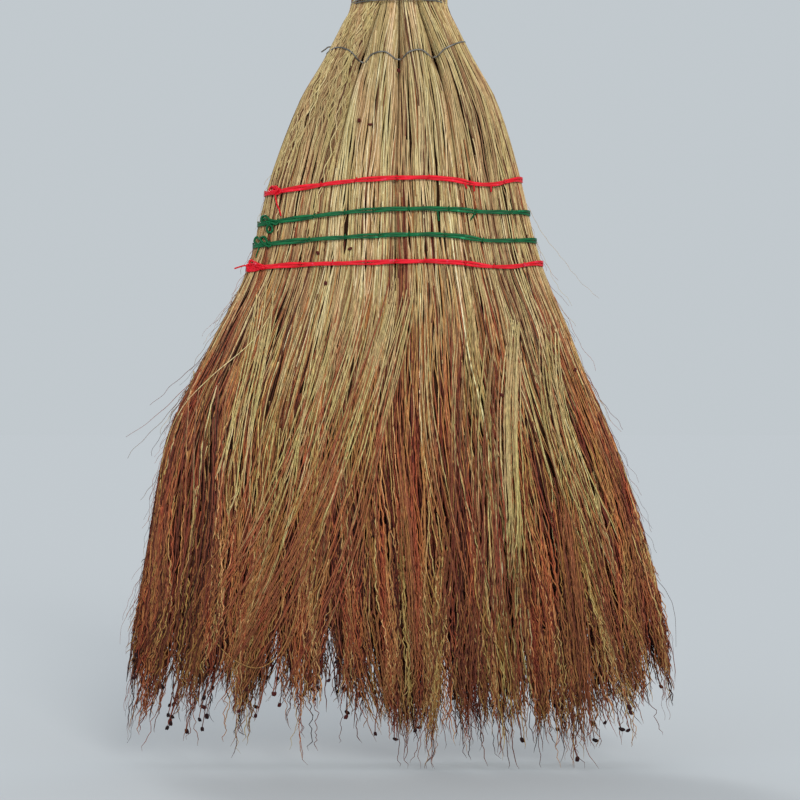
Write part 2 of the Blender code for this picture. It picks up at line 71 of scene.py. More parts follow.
# Bends of the head: height, reach, and how far to the right
BENDS = (
    (0.245, 0.075, -0.0066),
    (0.390, 0.055, -0.0026),
)

# Rows of twine: height in the middle, how much further the left end hangs, how deep the dip on the right is,
# and how much higher the right end goes
ROWS = {
    "red_lower": (0.3470, -0.0025, 0.0034, 0.0016),
    "green_lower": (0.3653, 0.0000, 0.0038, -0.0010),
    "green_upper": (0.3829, 0.0028, 0.0018, 0.0000),
    "red_upper": (0.4042, 0.0030, 0.0044, 0.0022),
}
ROW_BOW = 0.0045
ROW_TILT = 0.0025
# The dip of a row, as shares of the half width: its place and its reach
DIP_PLACE = 0.70
DIP_REACH = 0.24
STITCH_PITCH = 0.0225
STITCH_MARGIN = 0.010
STITCH_STRAY = 0.003

BUNDLE_GAP = 0.0006
SHOULDER_GAP = 0.0036
SHOULDER_GAP_HEIGHT = 0.4835
SHOULDER_GAP_REACH = 0.0065

# Locks at the tips, left to right: where the outermost end, where the gaps between them are,
# and how far each leans to the right
FAN_SIDES = (-0.186, 0.190)
LOCK_EDGES = np.array(
    [-0.157, -0.132, -0.083, -0.050, -0.019, 0.032, 0.061, 0.088, 0.103, 0.133, 0.149, 0.173]
)
LOCK_LEANS = np.array(
    [-0.003, 0.002, -0.004, -0.001, 0.001, 0.002, 0.002, -0.002, 0.002, -0.001, 0.002, 0.0, 0.003]
)
# The fringe, left to right: x, and the height at which it ends
FRINGE = (
    (-0.185, 0.072),
    (-0.171, 0.048),
    (-0.148, 0.048),
    (-0.117, 0.050),
    (-0.083, 0.058),
    (-0.066, 0.046),
    (-0.050, 0.067),
    (-0.030, 0.051),
    (-0.012, 0.034),
    (0.015, 0.027),
    (0.042, 0.033),
    (0.070, 0.029),
    (0.097, 0.041),
    (0.125, 0.026),
    (0.152, 0.050),
    (0.166, 0.056),
    (0.190, 0.068),
)

# The photograph's view: its middle is this far right and this high on the head, and it takes in this much
VIEW_RIGHT = 0.0007
VIEW_HEIGHT = 0.2520
VIEW_SPAN = 0.5520
VIEW_DISTANCE = 1.6000
SENSOR = 36.0


def bell(value, middle, reach):
    """1 at the middle, falling off as e to the minus square of the distance in reaches."""
    return np.exp(-(((value - middle) / reach) ** 2))


def bells(value, table):
    """A sum of bells, whose rows give the middle, the reach and the height of each."""
    return sum(height * bell(value, middle, reach) for middle, reach, height in table)


def ease(low, high, value):
    """0 at low, 1 at high, and a smooth step between them, whichever of the two is the greater."""
    t = np.clip((value - low) / (high - low), 0, 1)
    return t * t * (3 - 2 * t)


def signed_power(values, power):
    """Values to a power, with their signs kept."""
    return np.sign(values) * np.abs(values) ** power


def cubic(t, start, end, start_slope, end_slope):
    """A cubic from start to end as t goes from 0 to 1, with these slopes at its ends."""
    low = (1 + 2 * t) * (1 - t) ** 2 * start + t * (1 - t) ** 2 * start_slope
    high = t * t * (3 - 2 * t) * end - t * t * (1 - t) * end_slope
    return low + high


def outline(z, column):
    """Cubics through the stations, where the slope is the harmonic mean of those beside it, or level."""
    heights = STATIONS[:, 0]
    values = STATIONS[:, column]
    steps = np.diff(values) / np.diff(heights)
    before, after = steps[:-1], steps[1:]
    total = np.where(before * after > 0, before + after, 1.0)
    inner = np.where(before * after > 0, 2 * before * after / total, 0.0)
    slopes = np.concatenate([steps[:1], inner, steps[-1:]])
    z = np.clip(z, heights[0], heights[-1])
    i = np.clip(np.searchsorted(heights, z, "right") - 1, 0, len(steps) - 1)
    span = heights[i + 1] - heights[i]
    t = (z - heights[i]) / span
    return cubic(t, values[i], values[i + 1], span * slopes[i], span * slopes[i + 1])


def half_width(z):
    """Half the head's width at a height."""
    return outline(z, WIDTH)


def half_depth(z):
    """Half the head's depth at a height, never more than half its width."""
    return np.minimum(outline(z, DEPTH), half_width(z))


def face_depth(x, z):
    """Depth of the head's surface at x: flat in the middle, a half circle at both edges."""
    width, depth = half_width(z), half_depth(z)
    past_flat = np.clip((np.abs(x) - (width - depth)) / depth, 0, 1)
    return depth * np.sqrt(1 - past_flat**2)


def sway(z):
    """How far the head bends to the right of its middle line at a height."""
    return bells(z, BENDS)


def row_height(name, x):
    """A row of twine hangs lower towards its ends, more so on the left, and dips near its right end."""
    middle, left_hang, dip, end_lift = ROWS[name]
    share = x / half_width(middle)
    bow = ROW_TILT * share - ROW_BOW * share**2
    ends = end_lift * ease(0.75, 1.0, share) - left_hang * ease(-0.1, -1.0, share)
    return middle + bow + ends - dip * bell(share, DIP_PLACE, DIP_REACH)


def row_stitches(name):
    """Where across the head the stitches of a row are."""
    middle = ROWS[name][0]
    chance = np.random.default_rng(int(middle * 1e4))
    reach = half_width(middle) - STITCH_MARGIN
    count = int(2 * reach / STITCH_PITCH) + 1
    return np.linspace(-reach, reach, count) + chance.uniform(-STITCH_STRAY, STITCH_STRAY, count)


def fringe_height(x):
    """The height at which the fringe ends at this place across the fan."""
    return np.interp(x, *np.transpose(FRINGE))


def waves(chance, z, lengths, sizes):
    """Smooth wander along each strand: sines of these wave lengths and sizes, each with its own phase."""
    total = np.zeros_like(z)
    for length, size in zip(lengths, sizes):
        phase = chance.uniform(0, 2 * np.pi, (len(z), 1))
        stretch = chance.uniform(0.75, 1.3, (len(z), 1))
        total += size * np.sin(2 * np.pi * z / (length * stretch) + phase)
    return total


def xyz(x, y, z):
    """Points from their coordinates, any of which may be the same for many."""
    return np.stack(np.broadcast_arrays(x, y, z), axis=-1)


class Bundle:
    """One of the four bundles. A place on its face runs from 0 to 1 in even steps along its outline."""

    LEVELS = 90
    STEPS = 240
    # A face ends in the groove where its depth has fallen to this share
    GROOVE_DEPTH = 0.45

    def __init__(self, index):
        self.index = index
        self.name = BUNDLES[index]
        self.leftmost = index == 0
        self.rightmost = index == len(BUNDLES) - 1
        heights = np.linspace(0, TOP_Z, self.LEVELS)
        power = outline(heights, ROUNDNESS)[:, None]
        limit = (1 - self.GROOVE_DEPTH**power) ** (1 / power)
        left = -1.0 if self.leftmost else -limit
        right = 1.0 if self.rightmost else limit
        sweep = (1 - np.cos(np.pi * np.linspace(0, 1, self.STEPS)))[None] / 2
        share = left + (right - left) * sweep
        x, depth = self.surface(share, heights[:, None])
        run = np.cumsum(np.hypot(np.diff(x, axis=1), np.diff(depth, axis=1)), axis=1)
        run = np.concatenate([np.zeros((self.LEVELS, 1)), run], axis=1)
        even = np.linspace(0, 1, self.STEPS)
        self.heights = heights
        self.length = run[:, -1]
        self.shares = np.stack([np.interp(even, line / line[-1], across) for line, across in zip(run, share)])

    def edges(self, z):
        """Left and right limit of the bundle, with the grooves opened where the shoulder wire passes."""
        split = outline(z, GROOVE)
        opened = (SHOULDER_GAP - BUNDLE_GAP) * bell(z, SHOULDER_GAP_HEIGHT, SHOULDER_GAP_REACH)
        half_gap = (BUNDLE_GAP + opened) / 2
        width = half_width(z) + half_gap
        lines = [-width, -split, np.zeros_like(split), split, width]
        return lines[self.index] + half_gap, lines[self.index + 1] - half_gap

    def surface(self, share, z):
        """x and depth at a share across the bundle, -1 to 1: the head's face, rounded off into the grooves
        by (1 - share ** power) ** (1 / power)."""
        left, right = self.edges(z)
        x = (left + right) / 2 + share * (right - left) / 2
        power = outline(z, ROUNDNESS)
        fall = np.clip(1 - np.abs(share) ** power, 0, 1) ** (1 / power)
        at_edge = ((share < 0) & self.leftmost) | ((share > 0) & self.rightmost)
        return x, face_depth(x, z) * np.where(at_edge, 1.0, fall)

    def share_at(self, place, z):
        """Share across the bundle at a place on its face, read off the table between its levels and steps."""
        level = np.clip(z / TOP_Z, 0, 1) * (self.LEVELS - 1)
        step = np.clip(place, 0, 1) * (self.STEPS - 1)
        i = np.minimum(level.astype(int), self.LEVELS - 2)
        j = np.minimum(step.astype(int), self.STEPS - 2)
        up, along = level - i, step - j
        low = self.shares[i, j] * (1 - along) + self.shares[i, j + 1] * along
        high = self.shares[i + 1, j] * (1 - along) + self.shares[i + 1, j + 1] * along
        return low * (1 - up) + high * up

    def point(self, side, place, z, sunk=0.0, layer=1.0):
        """Paths on one side of the bundle, at a layer of its depth or sunk so many metres under its face."""
        x, depth = self.surface(self.share_at(place, z), z)
        return xyz(x, side * np.maximum(layer * depth - sunk, 0.0), z)

    def tip_x(self, side, place):
        """Where across the head a place on the bundle's face is at the tips."""
        return self.point(side, place, np.full(len(place), TIP_LEVEL))[:, 0]

    def face_length(self, z):
        """Length of the bundle's outline on one side, at a height."""
        return np.interp(z, self.heights, self.length)


# Meshes


def put_mesh(name, points, corners, sizes, maps):
    """A mesh from points, the corner list of all its faces, each face's corner count and its UV maps."""
    mesh = bpy.data.meshes.new(name)
    mesh.vertices.add(len(points))
    mesh.vertices.foreach_set("co", points.astype(np.float32).ravel())
    mesh.loops.add(len(corners))
    mesh.loops.foreach_set("vertex_index", corners.astype(np.int32))
    mesh.polygons.add(len(sizes))
    starts = np.concatenate([[0], np.cumsum(sizes)[:-1]])
    mesh.polygons.foreach_set("loop_start", starts.astype(np.int32))
    mesh.update(calc_edges=True)
    for map_name, places in maps.items():
        layer = mesh.uv_layers.new(name=map_name, do_init=False)
        layer.uv.foreach_set("vector", places.astype(np.float32).ravel())
    mesh.shade_smooth()
    piece = bpy.data.objects.new(name, mesh)
    bpy.context.scene.collection.objects.link(piece)
    return piece


def ring(sides, deep=1.0):
    """A tube's section: a circle, or an oval that is less deep than wide."""
    turn = 2 * np.pi * (np.arange(sides) + 0.25) / sides
    return np.stack([np.cos(turn), deep * np.sin(turn)], axis=1)


ALONG_X, ALONG_Y, ALONG_Z = np.eye(3)
THREE_SIDED = ring(3)
ROUND = ring(8)
# In the bake map a strand's cell is this many times as tall as wide, with this margin on each side
CELL_TALLNESS = 8
CELL_MARGIN = np.array([0.03, 0.01])


def strands(name, paths, radii, tone=None, section=THREE_SIDED, axis=ALONG_Y):
    """Closed tubes: corner j of ring k of a strand = path + radius * (section across + section outward).

    Across is tangent x axis, and outward is tangent x across, both of unit length.
    The map named strand holds the two tones of each strand, or else the place round and along it.
    The map named OFBake lays the strands side by side in a grid, each cell one strand.
    """
    count, rings = paths.shape[:2]
    sides = len(section)
    paths = paths + sway(paths[:, :, 2:]) * ALONG_X
    radii = np.broadcast_to(radii, (count, rings))
    tangent = np.gradient(paths, axis=1)
    tangent /= np.maximum(np.linalg.norm(tangent, axis=2, keepdims=True), 1e-9)
    across = np.cross(tangent, axis)
    across /= np.maximum(np.linalg.norm(across, axis=2, keepdims=True), 1e-9)
    outward = np.cross(tangent, across)
    ring_points = across[:, :, None] * section[:, :1] + outward[:, :, None] * section[:, 1:]
    points = paths[:, :, None] + radii[:, :, None, None] * ring_points

    index = np.arange(count * rings * sides).reshape(count, rings, sides)
    after = np.roll(index, -1, axis=2)
    quads = np.stack([index[:, :-1], after[:, :-1], after[:, 1:], index[:, 1:]], axis=-1)
    caps = np.stack([index[:, 0, ::-1], index[:, -1]], axis=1)
    corners = np.concatenate([quads.reshape(count, -1), caps.reshape(count, -1)], axis=1)
    sizes = np.tile(np.concatenate([np.full((rings - 1) * sides, 4), [sides, sides]]), count)

    k, j = np.meshgrid(np.arange(rings - 1), np.arange(sides), indexing="ij")
    u = np.stack([j, j + 1, j + 1, j], axis=-1) / sides
    v = np.stack([k, k, k + 1, k + 1], axis=-1) / (rings - 1)
    body = np.stack([u, v], axis=-1).reshape(-1, 2)
    cap = 0.5 + 0.5 * section / np.abs(section).max()
    local = np.concatenate([body, cap * [1, 0.01], cap * [1, -0.01] + [0, 1]])
    columns = min(count, int(math.sqrt(count * CELL_TALLNESS)))
    cell = np.stack([np.arange(count) % columns, np.arange(count) // columns], axis=1)
    in_cell = local * (1 - 2 * CELL_MARGIN) + CELL_MARGIN
    bake = (cell[:, None] + in_cell) / [columns, -(-count // columns)]
    here = np.broadcast_to(local if tone is None else tone[:, None], bake.shape)
    maps = {"strand": here.reshape(-1, 2), "OFBake": bake.reshape(-1, 2)}
    return put_mesh(name, points.reshape(-1, 3), corners.ravel(), sizes, maps)


def tones(first, second):
    """The two tones of each strand, either of which may be the same for all."""
    return np.stack(np.broadcast_arrays(first, second), axis=1)


def join(*sets):
    """Sets of strands with equally many rings, as one."""
    return [np.concatenate(parts) for parts in zip(*sets)]


def ride(piece, slot, finish, *nodes):
    """Gives a piece its finish and sets it on the broom's one body. The slot is not used."""
    piece.data.materials.append(finish)
    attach(piece, "root")
    if nodes:
        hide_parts(*nodes)


# Finishes


class Signal:
    """A number in a material. Arithmetic on it adds Math nodes."""

    def __init__(self, tree, socket):
        self.tree = tree
        self.socket = socket

    def math(self, operation, first, second=0.0):
        """One Math node on two numbers."""
        node = add_node(self.tree, "Math", {"operation": operation}, {0: first, 1: second})
        return Signal(self.tree, node)

    def __add__(self, other):
        return self.math("ADD", self, other)

    def __radd__(self, other):
        return self.math("ADD", other, self)

    def __sub__(self, other):
        return self.math("SUBTRACT", self, other)

    def __rsub__(self, other):
        return self.math("SUBTRACT", other, self)

    def __mul__(self, other):
        return self.math("MULTIPLY", self, other)

    def __rmul__(self, other):
        return self.math("MULTIPLY", other, self)

    def __truediv__(self, other):
        return self.math("DIVIDE", self, other)

    def clamp(self):
        """Held between 0 and 1."""
        return self.math("MINIMUM", self.math("MAXIMUM", self, 0.0), 1.0)

    def fraction(self):
        """What is over the whole number."""
        return self.math("FRACT", self)

    def step(self, low, high):
        """0 at low and 1 at high, straight between them."""
        return ((self - low) / (high - low)).clamp()


def plug(tree, socket, value):
    """Links a signal or a socket, or sets a plain value."""
    if isinstance(value, Signal):
        value = value.socket
    if isinstance(value, bpy.types.NodeSocket):
        tree.links.new(value, socket)
    else:
        socket.default_value = value


def set_stops(ramp, stops):
    """Puts stops, given as (place, colour), on a colour ramp."""
    while len(ramp.elements) < len(stops):
        ramp.elements.new(1.0)
    for element, (place, colour) in zip(ramp.elements, stops):
        element.position = place
        element.color = colour


def add_node(tree, kind, settings=None, sockets=None, output=0):
    """Adds a node of that type: its settings first, then the values or links of its sockets."""
    made = tree.nodes.new("ShaderNode" + kind)
    for key, value in (settings or {}).items():
        if key == "stops":
            set_stops(made.color_ramp, value)
        else:
            setattr(made, key, value)
    for key, value in (sockets or {}).items():
        plug(tree, made.inputs[key], value)
    return made.outputs[output]


def rgb(red, green, blue):
    """A colour with full alpha, in linear light."""
    return (red, green, blue, 1.0)


class Finish:
    """A material in the making, on one Principled shader."""

    # Places of the colour sockets on a Mix node
    MIX_FACTOR, MIX_FIRST, MIX_SECOND, MIX_RESULT = 0, 6, 7, 2

    def __init__(self, name, **constants):
        self.material = bpy.data.materials.new(name)
        self.material.use_nodes = True
        self.tree = self.material.node_tree
        self.shader = self.tree.nodes["Principled BSDF"]
        for socket, value in constants.items():
            self.shader.inputs[socket.replace("_", " ")].default_value = value

    def node(self, kind, settings=None, sockets=None, output=0):
        """Adds a node to this material."""
        return add_node(self.tree, kind, settings, sockets, output)

    def signal(self, kind, **given):
        """A node's output as a number."""
        return Signal(self.tree, self.node(kind, **given))

    def ramp(self, factor, *stops):
        """Colour at a factor between stops given as (place, colour)."""
        return self.node("ValToRGB", {"stops": stops}, {"Fac": factor}, "Color")

    def here(self):
        """The piece's own coordinates."""
        return self.node("TexCoord", output="Object")

    def strand_map(self):
        """The map named strand."""
        return self.node("UVMap", {"uv_map": "strand"})

    def axis(self, name):
        """One of the piece's own coordinates, as a number in metres."""
        return self.signal("SeparateXYZ", sockets={0: self.here()}, output=name)

    def strand(self, name):
        """X or Y of the map named strand."""
        return self.signal("SeparateXYZ", sockets={0: self.strand_map()}, output=name)

    def noise(self, stretch, detail=2.0, on_strand=False):
        """Noise about 0.5, with this many cycles to the metre along each axis or across the strand map."""
        place = self.strand_map() if on_strand else self.here()
        vector = self.node("VectorMath", {"operation": "MULTIPLY"}, {0: place, 1: stretch})
        sockets = {"Vector": vector, "Scale": 1.0, "Detail": detail}
        return self.signal("TexNoise", sockets=sockets, output="Fac")

    def mix(self, factor, first, second, blend="MIX"):
        """The second colour over the first by a factor, or blended in another way."""
        settings = {"data_type": "RGBA", "blend_type": blend}
        sockets = {self.MIX_FACTOR: factor, self.MIX_FIRST: first, self.MIX_SECOND: second}
        return self.node("Mix", settings, sockets, self.MIX_RESULT)

    def shaded(self, colour, amount):
        """The colour multiplied by a number."""
        grey = self.node("CombineColor", sockets={0: amount, 1: amount, 2: amount})
        return self.mix(1.0, colour, grey, "MULTIPLY")

    def wear(self, socket, value):
        """Gives a value to the shader."""
        plug(self.tree, self.shader.inputs[socket], value)

    def bump(self, height, distance, strength=1.0):
        """Raises the shading by a height times a distance in metres."""
        sockets = {"Height": height, "Distance": distance, "Strength": strength}
        self.wear("Normal", self.node("Bump", sockets=sockets, output="Normal"))


# A strand's first tone is the height at which it turns from straw to red brown, between these two
TURN_LOW = -0.15
TURN_HIGH = 0.55
TURN_SPAN = 0.075


def straw_finish():
    """Pale, golden and olive straw that turns to red brown fibre at each strand's own height.

    Painted light and shade along each strand stand for the highlights and shade of its fine crimps, and the
    same noise sets its roughness and bump. They are stronger in the fan than in the straws.
    """
    finish = Finish("sorghum_straw", Specular_IOR_Level=0.22)
    shade = finish.strand("Y")
    turn = finish.strand("X") * (TURN_HIGH - TURN_LOW) + TURN_LOW
    crimp_shade_and_bump = finish.noise((1100, 1100, 230), 4.0)
    spread = finish.noise((310, 290, 22), 2.0)
    tint = finish.noise((130, 130, 6), 3.0) + (0.33 - turn) * 0.45
    straw = finish.ramp(
        shade,
        (0.00, rgb(0.120, 0.042, 0.022)),
        (0.14, rgb(0.320, 0.185, 0.088)),
        (0.36, rgb(0.530, 0.372, 0.172)),
        (0.56, rgb(0.545, 0.408, 0.186)),
        (0.78, rgb(0.705, 0.548, 0.284)),
        (1.00, rgb(0.890, 0.760, 0.470)),
    )
    fibre = finish.ramp(
        shade,
        (0.00, rgb(0.038, 0.009, 0.007)),
        (0.24, rgb(0.195, 0.050, 0.028)),
        (0.46, rgb(0.355, 0.114, 0.050)),
        (0.68, rgb(0.430, 0.190, 0.062)),
        (0.85, rgb(0.530, 0.300, 0.102)),
        (1.00, rgb(0.670, 0.450, 0.185)),
    )
    redness = ((turn - finish.axis("Z")) / TURN_SPAN + (spread - 0.5) * 1.2 + 0.5).clamp()
    colour = finish.mix(redness, straw, fibre)
    hue = finish.ramp(
        tint,
        (0.33, rgb(1.16, 0.77, 0.77)),
        (0.50, rgb(1.00, 1.00, 1.00)),
        (0.66, rgb(0.94, 1.02, 0.80)),
    )
    height = finish.axis("Z")
    hued = 1.0 - 0.60 * height.step(0.20, 0.33)
    colour = finish.mix(hued, colour, finish.mix(1.0, colour, hue, "MULTIPLY"))
    faded = 0.56 + 0.44 * height.step(0.03, 0.21)
    above_rows = height.step(0.405, 0.440)
    between_rows = height.step(0.340, 0.365) - above_rows
    # Painted light: the straws are made paler between the rows, against the shade of the twine and of the
    # gaps where they are pressed in, and paler near the neck; a little darker above the top row
    painted_light_by_height = 0.98 + 0.09 * between_rows + 0.10 * height.step(0.490, 0.520) - 0.03 * above_rows
    # Painted light and shade of the fine crimps, stronger in the fan than in the straws
    strength = 2.35 - 1.00 * height.step(0.29, 0.35)
    crimp_shaded = 1.03 + (crimp_shade_and_bump - 0.5) * strength
    finish.wear("Base Color", finish.shaded(colour, crimp_shaded * faded * painted_light_by_height))
    finish.wear("Roughness", 0.48 + crimp_shade_and_bump * 0.3)
    finish.bump(crimp_shade_and_bump, 0.0002, 0.5)
    return finish.material


def painted_shade_finish():
    """Painted shade: near-black stalks deep in a bundle, standing for the shade between its straws."""
    finish = Finish("painted_shade_stalks", Roughness=0.9, Specular_IOR_Level=0.1)
    lines = finish.noise((700, 700, 12), 3.0)
    dark = rgb(0.010, 0.004, 0.002)
    light = rgb(0.060, 0.026, 0.011)
    finish.wear("Base Color", finish.ramp(lines, (0.3, dark), (0.75, light)))
    finish.bump(lines, 0.0008)
    return finish.material


JOINTS_PER_METRE = 9.0
JOINT_SPREAD = 5.0


def stem_finish():
    """Thick dry stems of the grip: pale straw with a darker ring at each joint and fine lines along them."""
    finish = Finish("grip_stem", Specular_IOR_Level=0.4)
    shade = finish.strand("Y")
    lines = finish.noise((1500, 1500, 25), 3.0)
    stains = finish.noise((160, 160, 30), 3.0)
    colour = finish.ramp(
        (shade + (stains - 0.5) * 0.7).clamp(),
        (0.00, rgb(0.21, 0.095, 0.040)),
        (0.30, rgb(0.42, 0.27, 0.115)),
        (0.65, rgb(0.58, 0.43, 0.20)),
        (1.00, rgb(0.72, 0.60, 0.33)),
    )
    joint = (finish.axis("Z") * JOINTS_PER_METRE + finish.strand("X") * JOINT_SPREAD).fraction()
    ring_mark = joint.step(0.0, 0.012) * (1.0 - joint.step(0.020, 0.035))
    colour = finish.mix(ring_mark * 0.75, colour, rgb(0.13, 0.055, 0.024))
    finish.wear("Base Color", finish.shaded(colour, 0.72 + lines * 0.56))
    finish.wear("Roughness", 0.34 + lines * 0.25)
    finish.bump(lines + ring_mark, 0.0003, 0.6)
    return finish.material


def pith_finish():
    """The pale spongy core in the cut end of a stem."""
    finish = Finish("stem_pith", Roughness=0.9, Specular_IOR_Level=0.15)
    pores = finish.noise((2600, 2600, 2600), 2.0)
    dark = rgb(0.40, 0.29, 0.15)
    light = rgb(0.70, 0.60, 0.40)
    finish.wear("Base Color", finish.ramp(pores, (0.3, dark), (0.6, light)))
    finish.bump(pores, 0.0003)
    return finish.material


# Colours of each twine: darker with painted shade in its folds, paler with painted light on them, and its
# painted glints
TWINE_COLOURS = {
    "red_twine": (rgb(0.50, 0.002, 0.008), rgb(0.92, 0.006, 0.026), rgb(1.00, 0.22, 0.45)),
    "green_twine": (rgb(0.0005, 0.042, 0.014), rgb(0.001, 0.160, 0.048), rgb(0.05, 0.48, 0.22)),
}


def twine_finish(name, deep, bright, glint):
    """Twisted film twine: lengthwise folds painted from shade deep in them to light on them, with sparse
    painted glints.
    """
    finish = Finish(name, Specular_IOR_Level=0.2, Coat_Weight=0.06, Coat_Roughness=0.2)
    folds = finish.noise((7, 70, 1), 3.0, on_strand=True)
    patches = finish.noise((260, 260, 260), 2.0)
    # Painted shade in the folds and painted light on them, then painted glints in sparse patches
    colour = finish.mix(folds.step(0.35, 0.65), deep, bright)
    colour = finish.mix(patches.step(0.60, 0.74) * folds.step(0.45, 0.60) * 0.6, colour, glint)
    finish.wear("Base Color", colour)
    finish.wear("Roughness", 0.30 + patches * 0.30)
    finish.bump(folds, 0.0005, 0.8)
    return finish.material


def wire_finish():
    """Dull drawn steel wire, darker in patches."""
    finish = Finish("binding_wire", Specular_IOR_Level=0.5)
    dull = finish.noise((150, 150, 150), 3.0)
    dark = rgb(0.13, 0.122, 0.108)
    light = rgb(0.33, 0.318, 0.292)
    finish.wear("Base Color", finish.ramp(dull, (0.35, dark), (0.65, light)))
    finish.wear("Metallic", 0.55 + dull * 0.3)
    finish.wear("Roughness", 0.42 + dull * 0.25)
    return finish.material


def husk_finish():
    """Dark seed husks, nearly black to brick red from one husk to another."""
    finish = Finish("seed_husk", Specular_IOR_Level=0.12)
    grain = finish.noise((1800, 1800, 900), 2.0)
    colour = finish.ramp(
        finish.strand("Y"),
        (0.0, rgb(0.010, 0.004, 0.004)),
        (0.5, rgb(0.036, 0.007, 0.007)),
        (1.0, rgb(0.095, 0.016, 0.011)),
    )
    finish.wear("Base Color", finish.shaded(colour, 0.6 + grain * 0.8))
    finish.wear("Roughness", 0.30 + grain * 0.3)
    finish.bump(grain, 0.0002)
    return finish.material


# Strands of the head

# The fraction of the golden ratio, by which each next strand is set further across the face
GOLDEN = 0.6180339887
SIDES = (-1.0, 1.0)
# Rings along a strand of each kind
STRAW_RINGS = 40
SLACK_RINGS = 66
FIBRE_RINGS = 72
TIP_RINGS = 26
HEART_RINGS = 14
CROSSING_RINGS = 56
# Where along a straw's rings its place across the fan and its place in the rows are read
FAN_RING = 0.65
ROW_RING = 0.45
# Height at which a fibre's place across the fan is read
TIP_LEVEL = 0.04

# Tables by height: the heights, then the radius or the share of the face that the fibres cover
STRAW_RADIUS = (
    (0.05, 0.20, 0.347, 0.45, 0.53, 0.60),
    (0.00028, 0.00037, 0.00043, 0.00048, 0.00058, 0.00058),
)
FIBRE_RADIUS = (
    (0.0, 0.05, 0.15, 0.30, 0.45),
    (0.00025, 0.00034, 0.00041, 0.00042, 0.00041),
)
FIBRE_COVER = (
    (0.0, 0.05, 0.15, 0.30, 0.37, 0.40),
    (0.62, 0.68, 0.74, 0.58, 0.25, 0.0),
)
# Tables along a straw: the share of its rings, then the share of its length that they have gone down
STRAW_STRETCH = ((0, 0.30, 0.62, 1), (0, 0.37, 0.56, 1))
SLACK_STRETCH = ((0, 0.06, 0.56, 0.80, 1), (0, 0.14, 0.36, 0.61, 1))
# Waves of the left bundle's slack straws: height, reach and size of their two places, and their length
SLACK_PLACES = (
    (0.507, 0.016, 0.0020),
    (0.460, 0.026, 0.0012),
)
SLACK_WAVE = 0.0165
# Between which heights the straws of the first and the second layer start and end
STRAW_TOPS = (0.588, 0.606)
STRAW_BOTTOMS = (0.10, 0.23)
UNDER_TOPS = (0.50, 0.60)
UNDER_BOTTOMS = (0.16, 0.26)
# A strand's thickness at its very end, as a share
THIN_END = 0.25

# Straws stand this close, in thicknesses, over a second layer with this much face to a straw
STRAW_SPACING = 0.91
UNDER_SPACING = 0.0011
WAVY_STRAWS = 50
SPRAYS = 125
BRANCHES = 3
INNER_FIBRES = 330
# Thicker fibres in the heart of the fan, painted dark for the shade deep in it, which end well above the
# fringe
HEART_FIBRES = 290
STRAY_HAIRS = 190

# How much paler the straws of each bundle are: partly their own colour, and partly painted shade that darkens
# the two outer bundles, whose rounded sides catch more light
LOBE_SHADES = (-0.23, 0.02, -0.02, -0.17)
# A dark streak of straws in the rows, near the middle: its x and its reach
DARK_STREAK = (0.0052, 0.0022)

# The pale lock of straight, thick fibres on the right: its x and its reach
STIFF_LOCK = (0.079, 0.012)

# Streaks across the fan: x, reach, and how much sooner the fibres turn red brown there, in metres of height
REDDER = (
    (-0.165, 0.030, 0.07),
    (-0.105, 0.020, -0.03),
    (-0.070, 0.014, 0.04),
    (-0.040, 0.016, -0.03),
    (0.012, 0.018, 0.13),
    (0.052, 0.013, 0.12),
    (0.081, 0.009, -0.16),
    (0.103, 0.009, 0.05),
    (0.128, 0.010, 0.02),
    (0.150, 0.012, -0.07),
    (0.185, 0.014, 0.08),
)
# Streaks across the fan: x, reach, and how much paler the strands are there
PALER = (
    (-0.152, 0.028, 0.08),
    (-0.105, 0.020, 0.04),
    (-0.040, 0.016, 0.03),
    (0.014, 0.012, -0.08),
    (0.052, 0.010, -0.06),
    (0.081, 0.009, 0.02),
    (0.148, 0.010, 0.08),
    (0.178, 0.012, -0.10),
)

# Straws part at a stitch: how far, and within what distances across and up
STITCH_PUSH = 0.0008
STITCH_REACH = 0.0022
STITCH_RISE = 0.010
# They are pressed in under the twine: how far, and within what distance up
TWINE_PRESS = 0.0005
TWINE_RISE = 0.0035

# Strands begin to drift apart from this height down
FAN_TOP = 0.335
# The share of the strands that hang below the fringe, and by how much at most
STRAGGLERS = 0.12
STRAGGLER_DROP = 0.040
# Strands are drawn into locks between these heights, and the fan is this much less deep at the lower one
NEAR_TIPS = (0.17, 0.02)
TIP_FLATNESS = 0.25
# Width of the finer locks within the locks of the tips
FINE_LOCK = 0.0080
# How far from the middle the tips are pressed together, and within how much more they stay
SIDE_LIMIT = 0.1830
SIDE_SOFT = 0.0085


def turn_tone(turn):
    """The tone that stands for the height at which a strand turns red brown."""
    return (turn - TURN_LOW) / (TURN_HIGH - TURN_LOW)


def strand_tones(chance, x, mean, spread, lean=0.0):
    """A strand's turning height, from its place across the fan and its own chance, and its shade."""
    fine = 0.03 * np.sin(x * 420 + 2.0) + 0.025 * np.sin(x * 905)
    turn = mean + bells(x, REDDER) + fine + chance.normal(0, spread, len(x))
    own = chance.beta(1.2, 1.1, len(x)) * 0.85 + 0.09
    shade = own + bells(x, PALER) + lean + 0.07 * np.sin(x * 700)
    return np.clip(tones(turn_tone(turn), shade), 0, 1)


